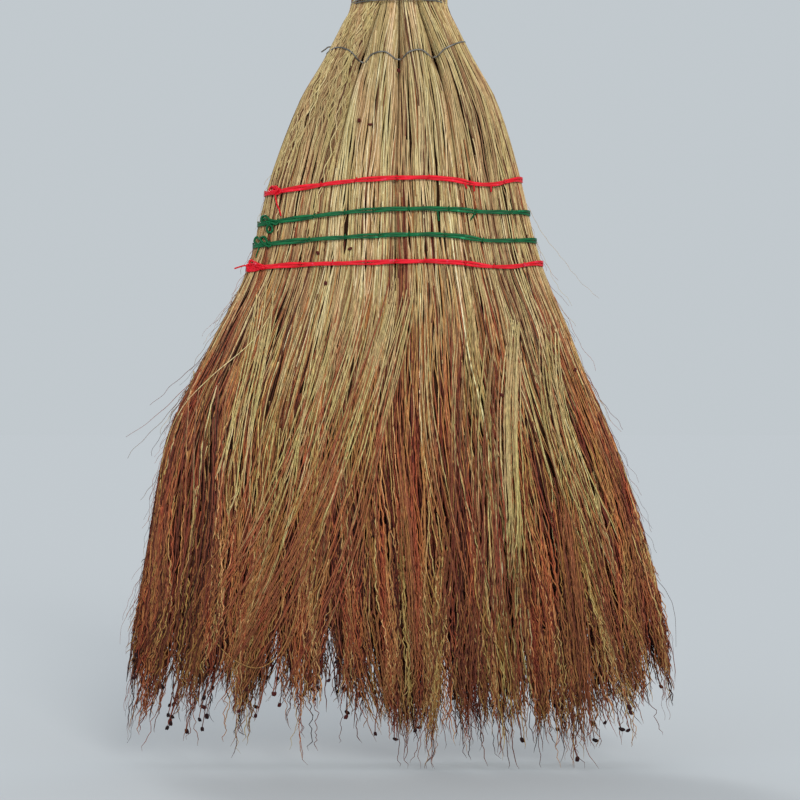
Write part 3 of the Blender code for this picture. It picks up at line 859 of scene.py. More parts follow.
def part_at_rows(paths):
    """Straws part at the stitches of each row and are pressed in a little under its twine."""
    x, y, z = np.moveaxis(paths, -1, 0)
    for name in ROWS:
        off = z - row_height(name, x)
        near = x[..., None] - row_stitches(name)
        nearest = np.take_along_axis(near, np.abs(near).argmin(-1)[..., None], -1)[..., 0]
        push = STITCH_PUSH * np.sign(nearest) * np.exp(-np.abs(nearest) / STITCH_REACH)
        x = x + push * bell(off, 0, STITCH_RISE)
        y = y * (1 - TWINE_PRESS * bell(off, 0, TWINE_RISE) / np.maximum(np.abs(y), 0.004))
    return xyz(x, y, z)


def tip_height(chance, x, lift):
    """Where a strand ends: along the fringe, ragged upwards, with a few stragglers below it."""
    ragged = chance.gamma(1.4, 0.014, len(x)) - 0.012 + lift
    straggler = (chance.random(len(x)) < STRAGGLERS) * chance.uniform(0.0, STRAGGLER_DROP, len(x))
    return np.clip(fringe_height(x) + ragged - straggler, 0.001, 0.3)


def draw_into_locks(chance, paths):
    """Towards the tips strands are drawn into the locks, and within them into finer ones."""
    x, y, z = np.moveaxis(paths, -1, 0)
    end = x[:, -1:]
    lock = np.searchsorted(LOCK_EDGES, end)
    edges = np.concatenate([FAN_SIDES[:1], LOCK_EDGES, FAN_SIDES[1:]])
    middle = (edges[lock] + edges[lock + 1]) / 2
    near_tip = ease(*NEAR_TIPS, z)
    pull = chance.uniform(0.05, 0.47, end.shape) + 0.08 * ease(-0.03, -0.08, end)
    x = x + ((middle - end) * pull + LOCK_LEANS[lock]) * near_tip
    finer = (np.floor(end / FINE_LOCK + 0.35 * np.sin(end * 90)) + 0.5) * FINE_LOCK
    x = x + (finer - end) * chance.uniform(0.40, 1.0, end.shape) * ease(0.13, 0.05, z)
    return xyz(x, y * (1 - TIP_FLATNESS * near_tip), z)


def zigzag(turns):
    """A wave with straight sides, -pi / 2 to pi / 2, once a turn."""
    return np.arcsin(np.sin(2 * np.pi * turns))


def kinks(x, z):
    """Kinks that neighbours share, -1 to 1: two zigzags down the fan whose phase drifts across it."""
    fine = zigzag(z / 0.0085 + 1.5 * np.sin(x * 62.0) + 0.6 * np.sin(x * 175.0))
    broad = zigzag(z / 0.0140 + 1.2 * np.sin(x * 81.0 + 1.0))
    return (fine + broad) / np.pi


def kept_within(x):
    """Sideways places, pressed together softly where they come near the sides of the tips."""
    past = np.maximum(np.abs(x) - SIDE_LIMIT, 0)
    return np.sign(x) * (np.minimum(np.abs(x), SIDE_LIMIT) + SIDE_SOFT * np.tanh(past / SIDE_SOFT))


def crinkle(chance, paths, size):
    """Kinks and a slow wave, both stronger towards the tips, and a curl at each strand's end."""
    x, y, z = np.moveaxis(paths, -1, 0)
    amount = size * (0.12 + 0.23 * ease(0.33, 0.22, z) + 0.65 * ease(0.25, 0.04, z))
    own = chance.uniform(0.2, 1.5, (len(z), 1))
    rough = 0.35 * chance.normal(0, 1, z.shape)
    x = x + amount * (waves(chance, z, (0.034,), (0.5,)) + own * kinks(x[:, -1:], z) + rough)
    y = y + amount * 0.40 * chance.normal(0, 1, z.shape)
    q = np.linspace(0, 1, z.shape[1])
    x = x + chance.normal(0, 0.0020, (len(z), 1)) * ease(0.85, 1.0, q) ** 2
    return xyz(kept_within(x), y, z)


class Wisps:
    """The locks on one face of a bundle, each with its own colour, sideways drift, depth and reach."""

    COUNT = 15
    WAVE_LENGTH = 0.24
    WAVE_SIZE = 0.0036

    def __init__(self, seed):
        chance = np.random.default_rng(seed)
        self.turn = chance.normal(0, 0.045, self.COUNT)
        self.shade = chance.normal(0, 0.14, self.COUNT)
        self.relief = chance.uniform(-0.0006, 0.0006, self.COUNT)
        self.phase = chance.uniform(0, 2 * np.pi, self.COUNT)
        inland = np.sin(np.pi * (np.arange(self.COUNT) + 0.5) / self.COUNT)
        self.lean = chance.normal(0, 0.0060, self.COUNT) * inland
        self.reach = chance.normal(0, 0.0065, self.COUNT)

    def pick(self, chance, place):
        """The wisp of each strand, from its place across the bundle and a little chance."""
        at = place * self.COUNT + chance.normal(0, 0.4, len(place))
        return np.clip(at, 0, self.COUNT - 1).astype(int)

    def drift(self, wisp, z):
        """Metres sideways, growing below the rows: a lean and one slow wave."""
        wave = self.WAVE_SIZE * np.sin(2 * np.pi * z / self.WAVE_LENGTH + self.phase[wisp, None])
        return (self.lean[wisp, None] + wave) * ease(FAN_TOP, 0.10, z)

    def raised(self, wisp, z):
        """Metres towards the face, growing below the rows."""
        return self.relief[wisp, None] * ease(FAN_TOP, 0.22, z)


def thinned(z, table, chance):
    """Radii by height from a table, with each strand's own thickness, thin in the last of its length."""
    q = np.linspace(0, 1, z.shape[1])
    own = chance.uniform(0.82, 1.22, (len(z), 1))
    return np.interp(z, *table) * own * (1 - (1 - THIN_END) * ease(0.93, 1.0, q))


def emergence(bundle, spacing, low):
    """Rank of each next strand, and the height at which it finds room on the face as that widens."""
    z = np.linspace(NECK_Z, low, 200)
    room = np.maximum.accumulate(bundle.face_length(z) / spacing(z))
    rank = np.arange(int(room[-1]))
    return rank, np.interp(rank, room, z)


def straw_spacing(z):
    """The room across a face for each straw, a little less than its thickness."""
    return 2 * STRAW_SPACING * np.interp(z, *STRAW_RADIUS)


def fibre_spacing(z):
    """The room across a face for each fibre: its thickness over the share of the face that fibres cover."""
    return 2 * np.interp(z, *FIBRE_RADIUS) / np.maximum(np.interp(z, *FIBRE_COVER), 0.01)


def straw_heights(bundle, top, bottom):
    """Heights along straws, closer together under the rows of twine and where the left bundle is slack."""
    rings, stretch = (SLACK_RINGS, SLACK_STRETCH) if bundle.leftmost else (STRAW_RINGS, STRAW_STRETCH)
    return top[:, None] + (bottom - top)[:, None] * np.interp(np.linspace(0, 1, rings), *stretch)


def slack_waves(chance, bundle, place, z):
    """Waves of the left bundle's slack straws, nearly in step from one straw to the next, in metres."""
    if not bundle.leftmost:
        return np.zeros_like(z)
    phase = 9.0 * place[:, None] + chance.normal(0, 0.35, (len(z), 1)) + 1.2 * np.sin(z * 60)
    reach = bells(z, SLACK_PLACES) * chance.uniform(0.35, 1.0, (len(z), 1))
    return reach * np.sin(2 * np.pi * z / SLACK_WAVE + phase)


def across_at(paths, share):
    """x of each strand at a share of its rings."""
    return paths[:, int(share * paths.shape[1]), 0]


def face_straws(chance, bundle, side, wisps):
    """Straws side by side on one face, each from where it finds room down into the fan.

    A straw is hidden a little deeper where it comes up, at its lower end, and under the grip's stems.
    """
    rank, rises = emergence(bundle, straw_spacing, 0.33)
    place = (0.5 + rank * GOLDEN) % 1.0
    wisp = wisps.pick(chance, place)
    at_neck = rises > NECK_Z - 0.003
    top = np.where(at_neck, chance.uniform(*STRAW_TOPS, len(rank)), rises + 0.035)
    bottom = chance.uniform(*STRAW_BOTTOMS, len(rank))
    z = straw_heights(bundle, top, bottom)
    slack = slack_waves(chance, bundle, place, z)
    wander = waves(chance, z, (0.30, 0.12, 0.06), (0.0011, 0.0007, 0.0005))
    wander *= 1 + 1.6 * ease(0.36, 0.15, z)
    place = place[:, None] + (wander + slack + wisps.drift(wisp, z)) / bundle.face_length(z)
    hidden = 0.0018 * ease(rises[:, None] - 0.004, rises[:, None] + 0.03, z) * (~at_neck[:, None])
    hidden += 0.0030 * ease(0.12, 0.0, z - bottom[:, None])
    hidden += 0.0022 * ease(0.580, 0.606, z)
    radii = thinned(z, STRAW_RADIUS, chance)
    uneven = waves(chance, z, (0.12, 0.055), (0.00022, 0.00010))
    sunk = radii + hidden + uneven - wisps.raised(wisp, z) + 0.30 * np.abs(slack)
    paths = crinkle(chance, part_at_rows(bundle.point(side, place, z, sunk)), 0.0006)
    tone = strand_tones(chance, across_at(paths, FAN_RING), 0.30, 0.06, LOBE_SHADES[bundle.index])
    tone[:, 0] = np.minimum(tone[:, 0], chance.normal(0.67, 0.045, len(rank)))
    streak = bell(across_at(paths, ROW_RING), *DARK_STREAK)
    return paths, radii, tone + streak[:, None] * tones(0.18, -0.55 * tone[:, 1])


def wavy_straws(chance, bundle, count):
    """Slack straws on the front of a shoulder: sines that stay nearly in step from one straw to the next."""
    place = chance.uniform(0.10, 0.97, (count, 1))
    middle = chance.uniform(0.425, 0.515, (count, 1))
    length = chance.uniform(0.045, 0.110, (count, 1))
    q = np.linspace(0, 1, SLACK_RINGS)[None]
    z = middle + length * (0.5 - q)
    phase = 8.0 * place + chance.normal(0, 0.7, (count, 1))
    period = chance.uniform(0.014, 0.024, (count, 1))
    swing = chance.uniform(0.0005, 0.0016, (count, 1)) * np.sin(2 * np.pi * z / period + phase)
    place = place + (swing + waves(chance, z, (0.09,), (0.0008,))) / bundle.face_length(z)
    radii = np.interp(z, *STRAW_RADIUS) * 0.9
    ends = 1 - np.sin(np.pi * q) ** 0.35
    paths = bundle.point(-1.0, place, z, radii - 0.0008 + 0.0020 * ends)
    return paths, radii, tones(0.45, chance.uniform(0.20, 0.80, count))


def under_straws(chance, bundle, side, count):
    """A second layer that shows brown between the straws of the first."""
    place = chance.random((count, 1))
    z = straw_heights(bundle, chance.uniform(*UNDER_TOPS, count), chance.uniform(*UNDER_BOTTOMS, count))
    place = place + waves(chance, z, (0.4, 0.15), (0.0020, 0.0008)) / bundle.face_length(z)
    radii = thinned(z, STRAW_RADIUS, chance)
    paths = part_at_rows(bundle.point(side, place, z, radii + chance.uniform(0.0004, 0.0010, (count, 1))))
    tone = strand_tones(chance, across_at(paths, FAN_RING), 0.33, 0.07)
    # Painted shade: the second layer, under the first, is made a little darker
    tone[:, 1] *= 0.85
    return paths, radii, tone


def long_straws(bundle, wisps, finish):
    """All the straws of one bundle, front and back, in two layers."""
    chance = np.random.default_rng(100 + bundle.index)
    under = int(bundle.face_length(0.40) / UNDER_SPACING)
    parts = [face_straws(chance, bundle, side, wisps[side]) for side in SIDES]
    parts += [under_straws(chance, bundle, side, under) for side in SIDES]
    if bundle.leftmost:
        parts.append(wavy_straws(chance, bundle, WAVY_STRAWS))
    piece = strands(f"hurl_{bundle.name}", *join(*parts))
    ride(piece, "stalks", finish, f"hurl_bundle_{bundle.name}")


def fibre_heights(top, bottom, rings, crowding=0.62):
    """Heights along fibres, closer together towards the tips."""
    q = np.linspace(0, 1, rings)[None] ** crowding
    return top[:, None] + (bottom - top)[:, None] * q


def stiffness(x):
    """1 in the pale lock of straight, thick fibres, and 0 away from it."""
    return bell(x, *STIFF_LOCK)[:, None]


def face_fibres(chance, bundle, side, wisps):
    """Fine fibres that come up between the straws of one face as the fan widens, and end in the fringe."""
    rank, rises = emergence(bundle, fibre_spacing, TIP_LEVEL)
    place = (0.25 + rank * GOLDEN) % 1.0
    wisp = wisps.pick(chance, place)
    end_x = bundle.tip_x(side, place)
    bottom = tip_height(chance, end_x, chance.gamma(2.0, 0.010, len(end_x)))
    top = np.minimum(rises + chance.uniform(0.03, 0.08, len(rank)), 0.43)
    z = fibre_heights(top, bottom, FIBRE_RINGS)
    wander = waves(chance, z, (0.30, 0.10), (0.0032, 0.0014)) * (0.3 + 1.1 * ease(0.36, 0.12, z))
    place = place[:, None] + (wander + wisps.drift(wisp, z)) / bundle.face_length(z)
    hidden = 0.0016 * ease(rises[:, None], rises[:, None] + 0.03, z)
    radii = thinned(z, FIBRE_RADIUS, chance) * (1 + 0.35 * stiffness(end_x))
    depth = chance.gamma(1.5, 0.0006, len(z))
    sunk = radii + hidden + depth[:, None] - 0.0004 - wisps.raised(wisp, z)
    paths = draw_into_locks(chance, part_at_rows(bundle.point(side, place, z, sunk)))
    # Painted shade: fibres that lie deeper under the face are made darker
    lean = wisps.shade[wisp] + 0.15 - 240 * depth
    tone = strand_tones(chance, end_x, 0.345 + wisps.turn[wisp], 0.06, lean)
    return crinkle(chance, paths, 0.0010 * (1 - 0.7 * stiffness(end_x))), radii, tone


def inner_fibres(chance, bundle, count, lift, thick, rings, lean):
    """Fibres through the thickness of the fan, which show between the locks and fill the fringe."""
    place = chance.random(count)
    side = chance.choice(SIDES, (count, 1))
    end_x = bundle.tip_x(1.0, place)
    z = fibre_heights(chance.uniform(0.20, 0.26, count), tip_height(chance, end_x, lift), rings)
    layer = np.sqrt(chance.uniform(0.0, 0.9, (count, 1)))
    wander = waves(chance, z, (0.25, 0.09), (0.0050, 0.0020))
    paths = bundle.point(side, place[:, None] + wander / bundle.face_length(z), z, 0.0012, layer)
    radii = thick * thinned(z, FIBRE_RADIUS, chance)
    tone = strand_tones(chance, end_x, 0.37, 0.08, lean)
    return crinkle(chance, draw_into_locks(chance, paths), 0.0011), radii, tone


def tip_sprays(chance, bundle, side, wisps, count):
    """Fine branches near the ends of the fibres: three from each stem, which part as they go down."""
    place = np.repeat(chance.random(count), BRANCHES)
    wisp = wisps.pick(chance, place)
    end_x = bundle.tip_x(side, place)
    bottom = np.maximum(tip_height(chance, end_x, 0.003) + wisps.reach[wisp], 0.001)
    top = bottom + np.repeat(chance.uniform(0.045, 0.130, count), BRANCHES)
    z = fibre_heights(top, bottom, TIP_RINGS, 0.85)
    wander = np.repeat(waves(chance, z[::BRANCHES], (0.30, 0.10), (0.0030, 0.0014)), BRANCHES, axis=0)
    place = place[:, None] + (wander + wisps.drift(wisp, z)) / bundle.face_length(z)
    q = np.linspace(0, 1, TIP_RINGS)[None]
    radii = 0.92 * thinned(z, FIBRE_RADIUS, chance) * (1 + 0.25 * stiffness(end_x))
    depth = np.repeat(chance.gamma(1.3, 0.0013, count), BRANCHES)
    sunk = radii + depth[:, None] + 0.0012 * ease(0.18, 0.0, q) - 0.0006 - wisps.raised(wisp, z)
    paths = draw_into_locks(chance, bundle.point(side, place, z, sunk))
    paths[:, :, 0] += chance.standard_t(3, (len(z), 1)).clip(-4, 4) * 0.0018 * q**1.6
    # Painted shade: deeper branches are made darker; those on the left are darker in their own colour
    lean = wisps.shade[wisp] + 0.12 - 125 * depth - 0.10 * ease(-0.02, -0.09, end_x)
    tone = strand_tones(chance, end_x, 0.36 + wisps.turn[wisp], 0.06, lean)
    return crinkle(chance, paths, 0.0013 * (1 - 0.5 * stiffness(end_x))), radii, tone


def bristles(bundle, wisps, finish):
    """The fine fibres of one bundle, from between its straws to the fringe."""
    chance = np.random.default_rng(200 + bundle.index)
    fibres = join(*[face_fibres(chance, bundle, side, wisps[side]) for side in SIDES])
    piece = strands(f"bristles_{bundle.name}", *fibres)
    ride(piece, "bristles", finish, f"bristle_fan_{bundle.name}")
    sprays = [tip_sprays(chance, bundle, side, wisps[side], SPRAYS) for side in SIDES]
    # Painted shade: the inner and heart fibres, deep in the fan, are made darker by their lean
    inner = inner_fibres(chance, bundle, INNER_FIBRES, lift=0.024, thick=1.0, rings=TIP_RINGS, lean=-0.28)
    ride(strands(f"tips_{bundle.name}", *join(inner, *sprays)), "bristles", finish)
    heart = inner_fibres(chance, bundle, HEART_FIBRES, lift=0.026, thick=1.7, rings=HEART_RINGS, lean=-0.40)
    ride(strands(f"heart_{bundle.name}", *heart), "bristles", finish)


def painted_shade_core(bundle, finish):
    """Painted shade: a dark core in each bundle, its own section drawn in, which closes the grooves and thins
    out below.
    """
    points_round = 36
    z = np.linspace(0.590, 0.120, 44)[:, None]
    turn = 2 * np.pi * np.arange(points_round) / points_round
    past_groove = 1.05 + 0.22 * bell(z, SHOULDER_GAP_HEIGHT, 1.5 * SHOULDER_GAP_REACH)
    left_reach = 0.95 if bundle.leftmost else past_groove
    right_reach = 0.95 if bundle.rightmost else past_groove
    share = np.where(np.cos(turn) < 0, left_reach, right_reach) * np.cos(turn)
    x, depth = bundle.surface(np.broadcast_to(share, (len(z), points_round)), z)
    drawn_in = 0.0019 + 0.012 * ease(0.25, 0.15, z)
    y = signed_power(np.sin(turn), 0.4) * np.maximum(depth - drawn_in, 0.0008)
    points = xyz(x + sway(z), y, z)
    grid = np.arange(x.size).reshape(x.shape)
    after = np.roll(grid, -1, axis=1)
    quads = np.stack([grid[:-1], grid[1:], after[1:], after[:-1]], axis=-1)
    corners = np.concatenate([quads.ravel(), grid[0], grid[-1, ::-1]])
    sizes = np.concatenate([np.full(quads.size // 4, 4), [points_round, points_round]])
    piece = put_mesh(f"inner_shade_stalks_{bundle.name}", points.reshape(-1, 3), corners, sizes, {})
    ride(piece, "stalks", finish)


# Fibres that lie across the others: x, its spread and height where they start and where they end,
# then how many there are on each face, their shade and the height at which they turn red brown
CROSSINGS = (
    (-0.002, 0.012, 0.330, -0.096, 0.026, 0.070, 46, 0.48, 0.25),
    (-0.014, 0.010, 0.330, -0.070, 0.014, 0.150, 14, 0.60, 0.20),
    (-0.086, 0.005, 0.325, -0.112, 0.007, 0.185, 14, 0.58, 0.15),
    (-0.050, 0.010, 0.310, -0.118, 0.012, 0.110, 18, 0.53, 0.22),
    (-0.075, 0.012, 0.230, -0.128, 0.012, 0.080, 14, 0.52, 0.24),
    (0.0830, 0.0034, 0.300, 0.0790, 0.0044, 0.135, 26, 0.49, 0.10),
    (0.1060, 0.0040, 0.300, 0.1420, 0.0060, 0.135, 18, 0.46, 0.14),
    (0.114, 0.004, 0.190, 0.131, 0.004, 0.035, 26, 0.50, 0.34),
    (0.010, 0.004, 0.210, 0.013, 0.004, 0.075, 18, 0.50, 0.34),
    (0.060, 0.010, 0.300, 0.040, 0.012, 0.045, 20, 0.30, 0.25),
    (-0.120, 0.010, 0.260, -0.150, 0.010, 0.060, 20, 0.25, 0.25),
    (-0.030, 0.008, 0.120, -0.010, 0.006, 0.030, 16, 0.55, 0.22),
    (0.128, 0.006, 0.200, 0.160, 0.008, 0.060, 18, 0.50, 0.22),
    (0.040, 0.012, 0.320, 0.062, 0.014, 0.100, 10, 0.45, 0.24),
    (0.070, 0.005, 0.210, 0.080, 0.006, 0.045, 14, 0.45, 0.22),
)

# Bent fibres on the front of the fan: the points that each passes through, as x and height
BENT_FIBRES = (
    ((-0.127, 0.090), (-0.113, 0.076), (-0.095, 0.070), (-0.079, 0.083), (-0.068, 0.114), (-0.062, 0.160)),
    ((-0.080, 0.320), (-0.095, 0.293), (-0.122, 0.268), (-0.143, 0.245), (-0.156, 0.215), (-0.160, 0.190)),
    ((0.060, 0.160), (0.052, 0.130), (0.058, 0.100), (0.070, 0.080), (0.076, 0.060), (0.072, 0.040)),
    ((0.150, 0.180), (0.140, 0.150), (0.146, 0.120), (0.160, 0.100), (0.168, 0.080), (0.166, 0.060)),
)


def over_the_face(x, side, z, raised):
    """Paths over one face of the fan, which draws in a little towards the tips."""
    depth = face_depth(x, z) * (1 - TIP_FLATNESS * ease(*NEAR_TIPS, z))
    return xyz(x, side * (depth + raised), z)


def crossing_fibres(finish):
    """Fibres lying slantwise over the front and, mirrored, over the back of the fan, and a few bent ones.

    Down its length a fibre goes sideways as 0.35 of the share gone and 0.65 of its square, with a bow.
    """
    chance = np.random.default_rng(300)
    rows = np.repeat(np.array(CROSSINGS), [2 * per_side for *_, per_side, _, _ in CROSSINGS], axis=0)
    count = len(rows)
    start_x, start_spread, start_z, end_x, end_spread, end_z, _, shade, turn = rows.T
    side = np.where(np.arange(count) % 2 == 0, -1.0, 1.0)[:, None]
    q = np.linspace(0, 1, CROSSING_RINGS)[None]
    within = chance.uniform(-1.7, 1.7, count)
    start_x = start_x + within * start_spread
    end_x = end_x + (0.8 * within + 0.4 * chance.normal(0, 1, count)) * end_spread
    start_z = start_z + chance.uniform(-0.02, 0.02, count)
    end_z = np.maximum(end_z + chance.uniform(-0.12, 0.18, count) * (start_z - end_z), 0.008)
    bow = chance.normal(0, 0.0022, (count, 1)) * np.sin(np.pi * q)
    x = start_x[:, None] + (end_x - start_x)[:, None] * (0.35 * q + 0.65 * q * q) + bow
    z = start_z[:, None] + (end_z - start_z)[:, None] * q
    raised = 0.0006 * ease(0.0, 0.15, q) - 0.0020 * ease(0.12, 0.0, q)
    raised = raised + chance.uniform(-0.0006, 0.0006, (count, 1))
    paths = crinkle(chance, over_the_face(x, side, z, raised), 0.0006)
    turn = turn + 0.06 * chance.normal(0, 1, count)
    tone = tones(turn_tone(turn), shade + chance.normal(0, 0.12, count))

    bent = np.stack([smooth_through(points, CROSSING_RINGS) for points in BENT_FIBRES])
    bent = over_the_face(bent[:, :, 0], -1.0, bent[:, :, 1], 0.0010 - 0.0016 * np.cos(np.pi * q) ** 8)
    paths = np.concatenate([paths, bent])
    tone = np.concatenate([np.clip(tone, 0, 1), np.full((len(bent), 2), (0.50, 0.80))])
    radii = thinned(paths[:, :, 2], FIBRE_RADIUS, chance)
    ride(strands("crossing_fibres", paths, radii, tone), "bristles", finish)


def stray_hairs(finish):
    """Thin hairs that stand off the edges of the head, by the share of their length gone to the power 1.5."""
    chance = np.random.default_rng(310)
    count = STRAY_HAIRS
    side = chance.choice((-1.0, -1.0, 1.0), count)
    in_rows = chance.random(count) < 0.3
    root_z = np.where(in_rows, chance.uniform(0.33, 0.42, count), chance.uniform(0.07, 0.33, count))
    length = chance.uniform(0.015, 0.085, count)
    q = np.linspace(0, 1, TIP_RINGS)[None]
    z = root_z[:, None] - length[:, None] * q * chance.uniform(0.6, 1.0, (count, 1))
    far = chance.random(count) < 0.06
    off = length * np.where(far, chance.uniform(0.25, 0.55, count), chance.uniform(0.02, 0.14, count))
    width = np.minimum(half_width(z), SIDE_LIMIT) - 0.002
    curl = 0.0016 * waves(chance, z, (0.03, 0.012), (0.7, 0.5)) * q
    x = kept_within(side[:, None] * (width + off[:, None] * q**1.5 + curl))
    y = chance.uniform(-0.6, 0.3, (count, 1)) * half_depth(z) * (1 - 0.5 * q)
    radii = chance.uniform(0.00012, 0.00022, (count, 1)) * (1.15 - 0.6 * q)
    tone = tones(chance.uniform(0.4, 1.0, count), chance.uniform(0.0, 0.5, count))
    ride(strands("stray_hairs", xyz(x, y, z), radii, tone), "bristles", finish)


# Husks on the front: x and height of those that lie on the head
LYING_HUSKS = (
    (-0.0531, 0.3526),
    (-0.0476, 0.3319),
    (-0.0310, 0.3554),
    (0.0766, 0.2553),
    (0.1262, 0.2726),
    (-0.0262, 0.4430),
    (-0.0186, 0.4402),
    (0.0000, 0.4768),
)
LYING_SIZE = 0.0030
HANGING_HUSKS = 84
# A husk's two lobes: how far each is turned, and its half thickness as a share of its length
LOBE_TURN = 0.16
LOBE_THICKNESS = 0.27
THREAD_RADIUS = 0.00034


def husks(finish, thread_finish):
    """Seed husks, two lobes each, on short threads under the fringe and a few on the face of the head.

    A lobe's radius follows an ellipse along it, a little fuller above than below.
    """
    chance = np.random.default_rng(320)
    hanging = HANGING_HUSKS
    on_left = chance.random(hanging) < 0.55
    x = np.where(on_left, chance.uniform(-0.180, -0.040, hanging), chance.uniform(-0.06, 0.18, hanging))
    x = x + 0.006 * np.sin(x * 260)
    z = np.clip(fringe_height(x) + chance.uniform(-0.026, 0.020, hanging), 0.006, 0.2)
    y = chance.choice((-1.0, -1.0, 1.0), hanging) * chance.uniform(0.008, 0.023, hanging)
    lying_x, lying_z = np.transpose(LYING_HUSKS)
    x = np.concatenate([x, lying_x])
    y = np.concatenate([y, -(face_depth(lying_x, lying_z) + 0.0004)])
    z = np.concatenate([z, lying_z])
    count = len(x)
    hangs = np.arange(count) < hanging
    size = np.where(hangs, chance.uniform(0.0028, 0.0046, count), LYING_SIZE)
    lean = chance.normal(0, 0.55, count)
    along = np.linspace(-0.5, 0.5, 9)
    profile = np.sqrt(np.clip(1 - (2 * along) ** 2, 0, 1)) * (1 - 0.3 * along) + 0.05
    lobes = []
    for turn in (-LOBE_TURN, LOBE_TURN):
        heading = xyz(np.sin(lean + turn), 0.0, -np.cos(lean + turn))
        middle = xyz(x + turn * 0.0022, y, z)
        lobes.append(middle[:, None] + heading[:, None] * along[None, :, None] * size[:, None, None])
    radii = np.tile(size[:, None] * LOBE_THICKNESS * profile, (2, 1))
    shade = np.where(hangs, chance.random(count) ** 1.6, 0.9)
    tone = np.tile(tones(chance.random(count), shade), (2, 1))
    ride(strands("seed_husks", np.concatenate(lobes), radii, tone, ring(8, 0.8)), "bristles", finish)

    x, y, z, size, lean = (values[:hanging, None] for values in (x, y, z, size, lean))
    up = 1 - np.linspace(0, 1, TIP_RINGS)[None]
    thread_z = z + 0.35 * size + chance.uniform(0.03, 0.06, hanging)[:, None] * up
    wander = 0.0016 * waves(chance, thread_z, (0.04, 0.016), (1.0, 0.5)) * up
    thread_x = x * (1 - 0.08 * up) - np.sin(lean) * 0.001 * (1 - up) + wander
    tone = tones(0.95, chance.uniform(0.1, 0.5, hanging))
    threads = strands("husk_threads", xyz(thread_x, y, thread_z), THREAD_RADIUS, tone)
    ride(threads, "bristles", thread_finish)


# Grip

STEM_RADIUS = 0.00112
STEM_PITCH = 0.00222
CORE_RADIUS = 0.0090
STEM_RINGS = 44
STEM_FOOT = 0.545


def stem_tones(chance, count):
    """The place of each stem's joints, and its shade."""
    return tones(chance.random(count), chance.beta(2.2, 1.6, count))


def grip_stems(bundle, finish):
    """Stems side by side round the grip, which come out from between the straws above the neck."""
    chance = np.random.default_rng(400 + bundle.index)
    parts = []
    for side in SIDES:
        count = max(2, round(float(bundle.face_length(0.70)) / STEM_PITCH))
        place = (np.arange(count) + 0.5) / count
        top = TOP_Z - chance.uniform(0.0, 0.0014, count)
        top[0] = TOP_Z
        z = top[:, None] + (STEM_FOOT - top)[:, None] * np.linspace(0, 1, STEM_RINGS)[None]
        wander = waves(chance, z, (0.12, 0.05), (0.00022, 0.0001))
        place = place[:, None] + wander / bundle.face_length(z)
        radii = np.broadcast_to(STEM_RADIUS * chance.uniform(0.92, 1.06, (count, 1)), z.shape)
        sunk = radii - 0.0002 + 0.0030 * ease(0.585, 0.555, z)
        tone = stem_tones(chance, count)
        parts.append((bundle.point(side, place, z, sunk), radii, tone))
    ride(strands(f"grip_stems_{bundle.name}", *join(*parts), ROUND), "stalks", finish)


def packed_circle(radius, pitch):
    """Points of a honeycomb within a circle."""
    reach = int(radius / pitch) + 2
    i, j = np.meshgrid(np.arange(-reach, reach + 1), np.arange(-reach, reach + 1))
    x = (i + 0.5 * (j % 2)) * pitch
    y = j * pitch * math.sqrt(3) / 2
    inside = np.hypot(x, y) < radius
    return x[inside], y[inside]


def cut_stems(finish, pith):
    """The cut ends that fill the end of the grip, with a disc of pith in each."""
    chance = np.random.default_rng(420)
    x, y = packed_circle(GRIP_END[WIDTH] - 2.1 * STEM_RADIUS, STEM_PITCH * 1.02)
    x = x + chance.uniform(-0.00012, 0.00012, len(x))
    top = TOP_Z - chance.uniform(0.0002, 0.0022, len(x))
    tone = stem_tones(chance, len(x))
    in_core = np.hypot(x, y) < CORE_RADIUS
    for name, slot, chosen, nodes in (
        ("cut_stalks", "stalks", ~in_core, ()),
        ("core_stems", "core_stalks", in_core, ("core_stalks",)),
    ):
        here_x, here_y, here_top = (values[chosen, None] for values in (x, y, top))
        stems = xyz(here_x, here_y, here_top - 0.030 * np.linspace(0, 1, 3))
        ride(strands(name, stems, STEM_RADIUS, tone[chosen], ROUND), slot, finish, *nodes)
        discs = xyz(here_x, here_y, np.minimum(here_top + np.array([0.00012, -0.002]), TOP_Z))
        ride(strands(f"{name}_pith", discs, 0.74 * STEM_RADIUS, tone[chosen], ROUND), slot, pith)


# Belts: wires and rows of twine round the head


def belt(z_of_x, pitch, offset, rings):
    """Two turns round the head: flat along the faces, and a half circle round each edge.

    They rise by the pitch a turn, start in the middle of the left edge and go along the front first.
    """
    turns = 2
    middle = z_of_x(0.0)
    flat = half_width(middle) - half_depth(middle)
    bend = half_depth(middle) + offset
    quarter = bend * np.pi / 2
    total = 4 * flat + 4 * quarter
    run = np.linspace(0, turns * total, rings)
    place = run % total
    corners = np.cumsum([0, quarter, 2 * flat, 2 * quarter, 2 * flat, quarter])
    angle = np.radians(np.interp(place, corners, [180, 270, 270, 450, 450, 540]))
    core = np.interp(place, corners, [-1, -1, 1, 1, -1, -1])
    z = z_of_x(core * flat + bend * np.cos(angle))
    width, depth = half_width(z), half_depth(z)
    x = core * (width - depth) + (depth + offset) * np.cos(angle)
    y = (depth + offset) * np.sin(angle)
    return xyz(x, y, z + pitch * (run / total - turns / 2))


WIRE_RADIUS = 0.00052
WIRE_PITCH = 0.0016
WIRE_RINGS = 200
NECK_WIRE_OFFSET = 0.0013
GRIP_WIRE_OFFSET = 0.0010


def put_wire(name, path, node, finish):
    """One round wire along a path."""
    piece = strands(name, path[None], WIRE_RADIUS, section=ROUND, axis=ALONG_Z)
    ride(piece, "binding_wire", finish, node)


def level_wire(name, z, node, finish, offset):
    """Two turns of wire at one height."""
    put_wire(name, belt(lambda x: z + 0.0 * x, WIRE_PITCH, offset, WIRE_RINGS), node, finish)


